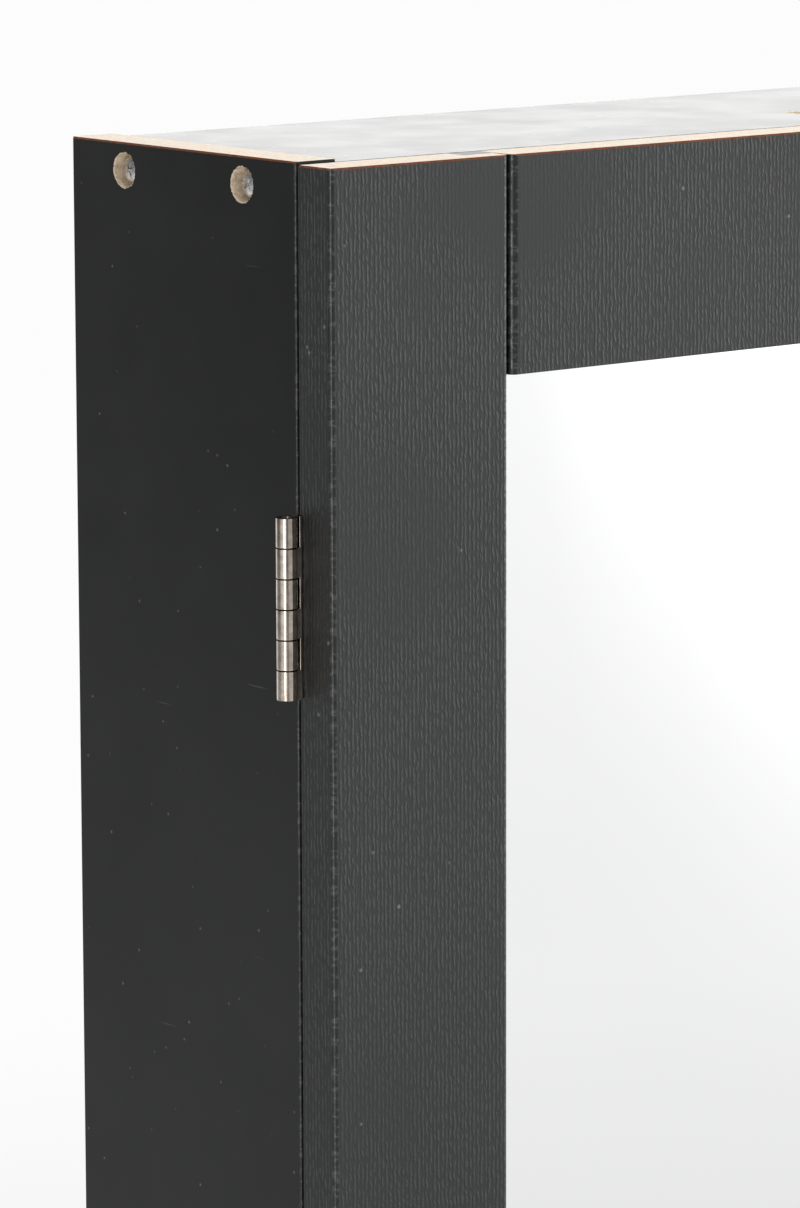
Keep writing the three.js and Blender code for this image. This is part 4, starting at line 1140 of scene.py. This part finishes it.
def makeHook(node):
    values = necklaceHook
    low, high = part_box(node)
    x, z = (low.x + high.x) / 2, low.z + values["flange"]
    face = low.y + values["tip"] + values["reach"]
    reach, shank, rise, bend = (values[key] for key in ("reach", "shank", "rise", "bend"))
    shape = bmesh.new()
    start = Matrix.Translation((x, face + shank, z)) @ Matrix.Rotation(math.pi / 2, 4, "X")
    ring = bmesh.ops.create_circle(
        shape, cap_ends=True, segments=values["wireSides"], radius=values["wire"], matrix=start)
    end = list({edge for vert in ring["verts"] for edge in vert.link_edges})
    for kind in ("straight", "bend", "straight"):
        rim = [edge for edge in end if edge.is_boundary or len(edge.link_faces) <= 1]
        if kind == "bend":
            corner = Vector((x, face - reach + bend, z + bend))
            verts = list({vert for edge in rim for vert in edge.verts})
            made = bmesh.ops.spin(
                shape, geom=rim + verts, cent=corner, axis=(1, 0, 0), angle=-math.pi / 2,
                steps=values["bendSteps"], dvec=(0, 0, 0))["geom_last"]
            end = [item for item in made if isinstance(item, bmesh.types.BMEdge)]
        else:
            made = bmesh.ops.extrude_edge_only(shape, edges=rim)["geom"]
            moved = [item for item in made if isinstance(item, bmesh.types.BMVert)]
            first = moved[0].co.y > face
            shift = (0, bend - shank - reach, 0) if first else (0, 0, rise - bend)
            bmesh.ops.translate(shape, vec=shift, verts=moved)
            end = [item for item in made if isinstance(item, bmesh.types.BMEdge)]
    tipRim = [edge for edge in shape.edges if len(edge.link_faces) == 1]
    bmesh.ops.holes_fill(shape, edges=tipRim, sides=0)
    around, up = values["tipSides"]
    bmesh.ops.create_uvsphere(
        shape, u_segments=around, v_segments=up, radius=values["tip"],
        matrix=Matrix.Translation((x, face - reach, z + rise)))
    wide, narrow, height = values["flange"], values["flangeTop"], values["flangeHeight"]
    profile = [(0, 0), (wide, 0), (wide, height * 0.25), (narrow + (wide - narrow) * 0.45, height * 0.75),
               (narrow, height), (0, height)]
    spinProfile(shape, profile, (x, face, z), (0, -1, 0), 40)
    bmesh.ops.recalc_face_normals(shape, faces=shape.faces)
    made = meshObject(shape, node + "_bent", ["nickel"])
    finishPiece(made, "cabinet", [node])


for number in range(1, 7):
    makeHook(f"necklace_hook_{number}")


# Slotted bars and rod

earringBar = {
    "slot": 2.0 * mm, "slotDepth": 14.0 * mm, "pitch": 11.0 * mm, "edge": 0.35 * mm,
    "open": (6.0 * mm, 173.0 * mm)}      # between the divider and the side panel
braceletRod = {"ease": 0.6 * mm, "sides": 64}


def makeEarringBar(node):
    values = earringBar
    low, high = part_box(node)
    left, right = values["open"]
    count = int((right - left) / values["pitch"]) - 1
    first = left + (right - left - (count - 1) * values["pitch"]) / 2
    half, foot = values["slot"] / 2, high.z - values["slotDepth"]
    outline = [(low.x, low.z), (low.x, high.z)]
    for step in range(count):
        x = first + step * values["pitch"]
        outline += [(x - half, high.z), (x - half, foot), (x + half, foot), (x + half, high.z)]
    outline += [(high.x, high.z), (high.x, low.z)]
    shape = bmesh.new()
    plateFrom(shape, outline, 1, low.y, high.y)
    rims = [edge for edge in shape.edges if edge.is_manifold and edge.calc_face_angle(0) > 0.5]
    roundEdges(shape, rims, values["edge"], 2)
    made = meshObject(shape, node + "_comb", ["smooth_foil"])
    finishPiece(made, "cabinet", [node])


makeEarringBar("earring_bar_upper")
makeEarringBar("earring_bar_lower")


def makeBraceletRod():
    low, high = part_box("bracelet_rod")
    radius, ease = (high.z - low.z) / 2, braceletRod["ease"]
    profile = [(0, low.x), (radius - ease, low.x), (radius, low.x + ease),
               (radius, high.x - ease), (radius - ease, high.x), (0, high.x)]
    centre = (0, (low.y + high.y) / 2, (low.z + high.z) / 2)
    shape = bmesh.new()
    spinProfile(shape, profile, centre, (1, 0, 0), braceletRod["sides"])
    made = meshObject(shape, "bracelet_rod_turned", ["smooth_foil"])
    finishPiece(made, "cabinet", ["bracelet_rod"])


makeBraceletRod()
print("inside fittings made")


# Ring cushion

ringCushion = {
    "rolls": 6,
    "around": 22,
    "pitchAlong": 4.6 * mm,
    "slack": 0.94,          # the rolls start this much smaller than they end
    "endLength": 9.0 * mm,
    "board": 4.0 * mm,
    "boardIn": 2.0 * mm,
    "boardRound": 1.2 * mm,
    "endCurve": (2.6, 0.45),     # how the ends close
    "heldBehind": 6.0 * mm,      # the part that is sewn to the board
    "pressure": 4.0,
    "growth": -0.035,       # the cover is cut a little too big, so it wrinkles
    "cap": 1.4 * mm,
    "frames": 20,
}


def makeRolls():
    values = ringCushion
    low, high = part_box("ring_cushion")
    pitch = (high.z - low.z) / values["rolls"]
    power, root = values["endCurve"]
    half = (high.x - low.x) / 2
    centreX = (high.x + low.x) / 2
    deep = (high.y - values["board"] * 0.5 - low.y) / 2
    centreY = low.y + deep
    steps = int(half * 2 / values["pitchAlong"])
    shape = bmesh.new()
    for roll in range(values["rolls"]):
        centreZ = low.z + (roll + 0.5) * pitch
        profile = []
        for step in range(steps + 1):
            along = -half + 2 * half * step / steps
            out = max(0.0, (abs(along) - half + values["endLength"]) / values["endLength"])
            profile.append((pitch / 2 * values["slack"] * max(1 - out ** power, 0.0) ** root, along))
        before = set(shape.verts)
        spinProfile(shape, profile, (centreX, centreY, centreZ), (1, 0, 0), values["around"])
        for vert in shape.verts:
            if vert not in before:
                vert.co.y = centreY + (vert.co.y - centreY) * deep / (pitch / 2)
    return meshObject(shape, "ring_cushion_rolls", ["velvet"])


def puff(made):
    # Fills the rolls with a cloth simulation and keeps how far each point may move.
    values = ringCushion
    held = made.vertex_groups.new(name="held")
    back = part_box("ring_cushion")[1].y
    for vert in made.data.vertices:
        if vert.co.y > back - values["heldBehind"]:
            held.add([vert.index], 1.0, "REPLACE")
    cloth = made.modifiers.new("cloth", "CLOTH")
    settings = cloth.settings
    settings.quality = 6
    settings.mass = 0.15
    settings.use_pressure = True
    settings.uniform_pressure_force = values["pressure"]
    settings.shrink_min = values["growth"]
    settings.vertex_group_mass = "held"
    settings.effector_weights.gravity = 0.0
    settings.tension_stiffness = 12.0
    settings.compression_stiffness = 8.0
    settings.bending_stiffness = 0.02
    cloth.point_cache.frame_start = 1
    cloth.point_cache.frame_end = values["frames"]
    scene = bpy.context.scene
    for step in range(1, values["frames"] + 1):
        scene.frame_set(step)
    graph = bpy.context.evaluated_depsgraph_get()
    filled = [vert.co.copy() for vert in made.evaluated_get(graph).data.vertices]
    made.modifiers.clear()
    scene.frame_set(1)
    for vert, place in zip(made.data.vertices, filled):
        shift = place - vert.co
        if shift.length > values["cap"]:
            shift *= values["cap"] / shift.length
        vert.co += shift
    made.vertex_groups.clear()


def addBoard(made):
    # The covered board that the rolls are sewn to.
    values = ringCushion
    low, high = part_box("ring_cushion")
    board = bmesh.new()
    addBox(board, (low.x + values["boardIn"], high.y - values["board"], low.z),
           (high.x - values["boardIn"], high.y, high.z))
    roundEdges(board, list(board.edges), values["boardRound"], 3)
    mesh = bpy.data.meshes.new("board")
    board.to_mesh(mesh)
    board.free()
    joined = bmesh.new()
    joined.from_mesh(made.data)
    joined.from_mesh(mesh)
    joined.to_mesh(made.data)
    joined.free()
    bpy.data.meshes.remove(mesh)


rolls = makeRolls()
puff(rolls)
smoother = rolls.modifiers.new("smoother", "SUBSURF")
smoother.levels = smoother.render_levels = 1
applied(rolls)
addBoard(rolls)
finishPiece(rolls, "cabinet", ["ring_cushion"], 60.0)
print("ring cushion made")


# Lock

lock = {
    "bore": 5.3 * mm,
    "barrel": 8.0 * mm,
    "flange": 10.5 * mm,
    "flangeHeight": 1.8 * mm,
    "chamfer": 1.3 * mm,
    "mouth": 0.3 * mm,          # the chamfer round the plug
    "sunk": 0.02 * mm,          # the face, below the plain solid's
    "threadPitch": 1.0 * mm,
    "threadDepth": 0.3 * mm,
    "threadStart": 0.4 * mm,
    "threadEnd": 1.5 * mm,      # below the flange
    "sides": 72,
    "plug": 5.2 * mm,
    "plugSunk": 0.1 * mm,
    "plugChamfer": 0.25 * mm,
    "plugSides": 56,
    "keyway": (1.6 * mm, 6.6 * mm, 8.0 * mm),       # width, height and depth
    "ward": (0.5 * mm, 0.6 * mm),       # beside the keyway, and half its height
    "square": 6.0 * mm,
    "camHub": 6.5 * mm,
    "camTip": 4.5 * mm,
    "camRound": 0.2 * mm,
    "camFit": 0.1 * mm,
    "nutFit": 0.05 * mm,
    "nutCone": (1.2 * mm, -0.55 * mm, 1.75 * mm),   # radii beyond the corners, and height
}


def makeHousing(x, z):
    values = lock
    low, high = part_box("lock_housing")
    face, end = -low.y, -high.y         # heights above the cabinet's rear plane, towards the front
    barrel, flange = values["barrel"], values["flange"]
    seatHeight = face - values["flangeHeight"]
    root, pitch = barrel - values["threadDepth"], values["threadPitch"]
    profile = [(values["bore"], end), (root, end)]
    height = end + values["threadStart"]
    while height + pitch < seatHeight - values["threadEnd"]:
        profile += [(root, height), (barrel, height + pitch / 2)]
        height += pitch
    profile += [(barrel, height), (barrel, seatHeight)]
    profile += [(flange - 0.1 * mm, seatHeight), (flange, seatHeight + 0.15 * mm)]
    chamfer, sunk, mouth = values["chamfer"], values["sunk"], values["mouth"]
    steps = 5
    for step in range(steps + 1):
        turn = math.pi / 2 * step / steps
        profile.append((flange - chamfer * (1 - math.cos(turn)) - sunk,
                        face - chamfer * (1 - math.sin(turn)) - sunk))
    profile += [(values["bore"] + mouth, face - sunk), (values["bore"], face - mouth)]
    shape = bmesh.new()
    spinProfile(shape, profile, (x, 0, z), (0, -1, 0), values["sides"])
    made = meshObject(shape, "lock_housing_turned", ["nickel"])
    finishPiece(made, "door", ["lock_housing"])


def makePlug(x, z):
    values = lock
    low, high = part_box("lock_housing")
    end, top = -high.y, -low.y - values["plugSunk"]
    plug, chamfer = values["plug"], values["plugChamfer"]
    profile = [(0, end), (plug, end), (plug, top - chamfer), (plug - chamfer, top), (0, top)]
    shape = bmesh.new()
    spinProfile(shape, profile, (x, 0, z), (0, -1, 0), values["plugSides"])
    made = meshObject(shape, "lock_plug_turned", ["nickel"])
    wide, tall, deep = values["keyway"]
    (beside, ward), half = values["ward"], values["square"] / 2
    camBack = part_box("lock_cam")[1].y
    left, right = x - wide / 2, x + wide / 2
    combine(made, [boxTool((x - half, -end - mm, z - half), (x + half, camBack, z + half), 0)], "UNION")
    combine(made, [
        boxTool((left, low.y - mm, z - tall / 2), (right, low.y + deep, z + tall / 2), 0),
        boxTool((left - beside, low.y - mm, z - ward), (right, low.y + deep, z + ward), 0)])
    finishPiece(made, "lock_core", ["lock_plug"])


def makeCam(x, z):
    values = lock
    low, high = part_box("lock_cam")
    hub, tip = values["camHub"], values["camTip"]
    outline = []
    for radius, centre, begin, steps in ((hub, z, 0, 24), (tip, low.z + tip, math.pi, 16)):
        for step in range(steps + 1):
            turn = begin + math.pi * step / steps
            outline.append((x + radius * math.cos(turn), centre + radius * math.sin(turn)))
    shape = bmesh.new()
    plateFrom(shape, outline, 1, low.y, high.y)
    rims = [edge for edge in shape.edges if edge.is_manifold and edge.calc_face_angle(0) > 1.2]
    roundEdges(shape, rims, values["camRound"], 2)
    made = meshObject(shape, "lock_cam_stamped", ["zinc_steel"])
    fit = values["square"] / 2 + values["camFit"]
    combine(made, [boxTool((x - fit, low.y - mm, z - fit), (x + fit, high.y + mm, z + fit), 0)])
    finishPiece(made, "lock_core", ["lock_cam"])


def makeNut(x, z):
    low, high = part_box("lock_nut")
    corner = (high.z - low.z) / 2
    turns = [math.pi / 3 * step for step in range(6)]
    outline = [(x + corner * math.sin(turn), z + corner * math.cos(turn)) for turn in turns]
    shape = bmesh.new()
    plateFrom(shape, outline, 1, low.y, high.y)
    made = meshObject(shape, "lock_nut_hexagon", ["zinc_steel"])
    hole, crown = bmesh.new(), bmesh.new()
    radius = lock["barrel"] + lock["nutFit"]
    addRod(hole, radius, radius, (x, low.y - mm, z), (x, high.y + mm, z), 56)
    combine(made, [hole])
    wide, narrow, rise = lock["nutCone"]
    start, end = (x, high.y - rise, z), (x, high.y + 0.01 * mm, z)
    addRod(crown, corner + wide, corner + narrow, start, end, 64)
    combine(made, [crown], "INTERSECT")
    finishPiece(made, "door", ["lock_nut"])


def makeLock():
    centre = middleOf("lock_housing")
    for make in (makeHousing, makePlug, makeCam, makeNut):
        make(centre.x, centre.z)
    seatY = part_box("cam_screw")[1].y - machineHead["headHeight"]
    placeScrew(machineScrew, "cam_screw_pan_head", (centre.x, seatY, centre.z), (0, 1, 0),
               "lock_core", "zinc_steel", ["cam_screw"], 0.3)


makeLock()
print("lock made")


# Wall plates

hangerPlate = {
    "corner": 2.0 * mm, "edge": 0.15 * mm, "thickness": 1.2 * mm, "entry": 5.0 * mm, "slot": 2.5 * mm,
    "travel": 11.0 * mm, "screwSpread": 36.0 * mm}


def makeHangerPlate(node):
    values = hangerPlate
    low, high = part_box(node)
    x = (low.x + high.x) / 2
    z = (low.z + high.z) / 2
    shape = bmesh.new()
    addBox(shape, (low.x, high.y - values["thickness"], low.z), (high.x, high.y, high.z))
    roundEdges(shape, edgesAlong(shape, 1), values["corner"], 5)
    rims = [edge for edge in shape.edges if edge.is_manifold and edge.calc_face_angle(0) > 1.2]
    roundEdges(shape, rims, values["edge"], 2)
    made = meshObject(shape, node + "_stamped", ["zinc_steel"])
    entry, slotEnd = bmesh.new(), bmesh.new()
    back, front = high.y + mm, high.y - values["thickness"] - mm
    half, slot = values["travel"] / 2, values["slot"]
    addRod(entry, values["entry"], values["entry"], (x, front, z - half), (x, back, z - half), 48)
    addRod(slotEnd, slot, slot, (x, front, z + half), (x, back, z + half), 32)
    tools = [entry, slotEnd, boxTool((x - slot, front, z - half), (x + slot, back, z + half), 0)]
    out = Vector((0, 1, 0))
    places = [Vector((x, high.y, z + side * values["screwSpread"] / 2)) for side in (-1, 1)]
    combine(made, tools + [flatSink(at, out) for at in places])
    finishPiece(made, "cabinet", [node])
    for index, at in enumerate(places):
        placeScrew(flatScrew, f"{node}_screw_{index + 1}", at, out, "cabinet", "zinc_steel", (),
                   dice.uniform(0, 1.5))


makeHangerPlate("hanger_plate_left")
makeHangerPlate("hanger_plate_right")
for mesh in (panScrew, flatScrew, machineScrew):
    bpy.data.meshes.remove(mesh)
print("wall plates made")


# Looks of the remaining nodes

slotOf = {part["node"]: part["material_slot"] for part in frame["record"]["subparts"]}
for name, node in frame["nodes"].items():
    if name in slotOf:
        for index in range(len(node.material_slots)):
            node.material_slots[index].material = materials[slotOf[name]]


# Stage and light

stage = {
    "floorSize": 60.0,
    "floorTone": 0.84,
    "nearGlow": 0.55,        # how much of the floor near the cabinet is seen as plain white
    "farFrom": 1.2,
    "farAt": 4.0,
    "white": 0.975,
    "air": 0.40,             # the world's light on matt surfaces
    "darkOver": (1.8, 8.0),      # metres over which the studio's dark and bright parts set in on the floor
    "brightOver": (3.5, 9.0),
}
overTheFloor = [             # metres from the cabinet, brightness in gloss
    (0, 0.3), (0.9, 0.36), (1.9, 0.72), (2.6, 0.86), (4.2, 0.99), (10, 1.0)]
aroundTheStudio = [          # degrees from straight ahead of the door towards the left, brightness in gloss
    (-180, 1.6), (-141, 1.9), (-112, 1.9), (-85, 2.6), (-60, 3.2), (-50, 3.0), (-44, 2.1), (-40, 1.15),
    (-35, 0.98), (-21, 0.85), (-14, 0.5), (10, 0.55), (19, 0.42), (25, 0.08), (36, 0.10), (43, 0.8),
    (70, 1.1), (98, 0.7), (112, 0.15), (128, 0.08), (148, 0.22), (165, 1.1), (180, 1.6)]
brightest = 4.0


def makeStudio():
    # How bright the studio is in each direction, as glossy things reflect it.
    shader, takes, gives = newGroup("studio", {"Place": "vector"}, ["Level"])
    parts = shader.add("ShaderNodeSeparateXYZ")
    shader.link(takes["Place"], parts.inputs[0])
    left = shader.math("MULTIPLY", parts.outputs[0], -1.0)
    ahead = shader.math("MULTIPLY", parts.outputs[1], -1.0)
    turn = shader.math("ARCTAN2", left, ahead)
    share = shader.math("ADD", shader.math("DIVIDE", turn, 2 * math.pi), 0.5)
    points = [((degrees + 180) / 360, level / brightest) for degrees, level in aroundTheStudio]
    shader.link(shader.math("MULTIPLY", shader.graph(share, points), brightest), gives["Level"])
    return shader.tree


studio = makeStudio()


def makeFloor():
    shape = bmesh.new()
    half = stage["floorSize"] / 2
    bmesh.ops.create_grid(shape, x_segments=1, y_segments=1, size=half)
    bmesh.ops.translate(shape, vec=(0, 0, cadBounds[0][2] - 0.5 * mm), verts=shape.verts)
    made = bpy.data.materials.new("floor")
    made.use_nodes = True
    tree = made.node_tree
    tree.nodes.clear()
    shader = Shader(tree)
    path = shader.add("ShaderNodeLightPath")
    place = shader.place()
    flat = shader.stretch(place, (1.0, 1.0, 0.0))
    length = shader.add("ShaderNodeVectorMath", operation="LENGTH")
    shader.link(flat, length.inputs[0])
    away = length.outputs["Value"]
    matte = shader.add("ShaderNodeBsdfDiffuse")
    speckle = shader.noise(place, 30.0, 3.0)
    tone = stage["floorTone"]
    shader.link(shader.mix(speckle, colour((tone,) * 3), colour((tone * 0.98,) * 3)), matte.inputs["Color"])
    around = shader.group(studio, Place=place).outputs["Level"]
    reach = overTheFloor[-1][0]
    tenth = shader.math("DIVIDE", away, reach, clamp=True)
    near = shader.graph(tenth, [(metres / reach, level) for metres, level in overTheFloor])
    lack = shader.math("SUBTRACT", 1.0, shader.math("MINIMUM", around, 1.0))
    dark = shader.math("SUBTRACT", 1.0, shader.math("MULTIPLY", lack, shader.span(away, *stage["darkOver"])))
    excess = shader.math("MAXIMUM", shader.math("SUBTRACT", around, 1.0), 0.0)
    bright = shader.math("MULTIPLY", excess, shader.span(away, *stage["brightOver"]))
    gloss = shader.math("ADD", shader.math("MULTIPLY", near, dark), bright)
    seen = shader.seen(path)
    strength = shader.math("ADD", shader.math("MULTIPLY", seen, stage["white"]),
                           shader.math("MULTIPLY", path.outputs["Is Glossy Ray"], gloss))
    glow = shader.add("ShaderNodeEmission")
    shader.link(strength, glow.inputs["Strength"])
    plain = shader.span(away, stage["farFrom"], stage["farAt"], stage["nearGlow"], 1.0)
    plain = shader.math("MULTIPLY", seen, plain)
    share = shader.math("MAXIMUM", plain, shader.math("MULTIPLY", path.outputs["Is Glossy Ray"], 0.85))
    blend = shader.add("ShaderNodeMixShader")
    shader.link(share, blend.inputs[0])
    shader.link(matte.outputs[0], blend.inputs[1])
    shader.link(glow.outputs[0], blend.inputs[2])
    shader.link(blend.outputs[0], shader.add("ShaderNodeOutputMaterial").inputs["Surface"])
    mesh = bpy.data.meshes.new("floor")
    shape.to_mesh(mesh)
    shape.free()
    mesh.materials.append(made)
    floor = bpy.data.objects.new("floor", mesh)
    bpy.context.scene.collection.objects.link(floor)


def makeWorld():
    world = bpy.data.worlds.new("studio")
    bpy.context.scene.world = world
    world.use_nodes = True
    tree = world.node_tree
    tree.nodes.clear()
    shader = Shader(tree)
    path = shader.add("ShaderNodeLightPath")
    direction = shader.add("ShaderNodeTexCoord").outputs["Generated"]
    level = shader.group(studio, Place=direction).outputs["Level"]
    seen = shader.seen(path)
    glossy = shader.math("MULTIPLY", path.outputs["Is Glossy Ray"], level)
    other = shader.math("SUBTRACT", 1.0, shader.math("ADD", seen, path.outputs["Is Glossy Ray"], clamp=True))
    strength = shader.math("ADD", shader.math("MULTIPLY", seen, stage["white"]), glossy)
    strength = shader.math("ADD", strength, shader.math("MULTIPLY", other, stage["air"]))
    sky = shader.add("ShaderNodeBackground")
    shader.link(strength, sky.inputs["Strength"])
    shader.link(sky.outputs[0], shader.add("ShaderNodeOutputWorld").inputs["Surface"])


lamps = {
    "key": {"place": (0.52, -0.72, 0.2), "size": (0.5, 0.8), "power": 4.9, "tone": (1.0, 0.985, 0.96)},
    "top": {"place": (0.1, -0.3, 2.6), "size": (1.8, 1.8), "power": 48.0, "tone": (1.0, 0.99, 0.97)},
    "strip": {"place": (-2.25, -1.35, 0.0), "size": (0.55, 2.2), "power": 17.0, "tone": (0.985, 0.99, 1.0)},
    "back": {"place": (1.4, 1.75, 0.75), "size": (2.4, 1.3), "power": 14.0, "tone": (1.0, 0.995, 0.985)},
}


def makeLamps():
    target = Vector((0, -0.05, -0.2))
    for name, values in lamps.items():
        data = bpy.data.lights.new(name, "AREA")
        data.shape = "RECTANGLE"
        data.size, data.size_y = values["size"]
        data.energy = values["power"]
        data.color = values["tone"]
        lamp = bpy.data.objects.new(name, data)
        bpy.context.scene.collection.objects.link(lamp)
        lamp.location = values["place"]
        aim = target - Vector(values["place"])
        lamp.rotation_euler = aim.to_track_quat("-Z", "Y").to_euler()
        lamp.visible_camera = False
        lamp.visible_glossy = name != "key"


makeFloor()
makeWorld()
makeLamps()
bpy.context.scene.view_settings.view_transform = "Standard"
print("stage and light made")
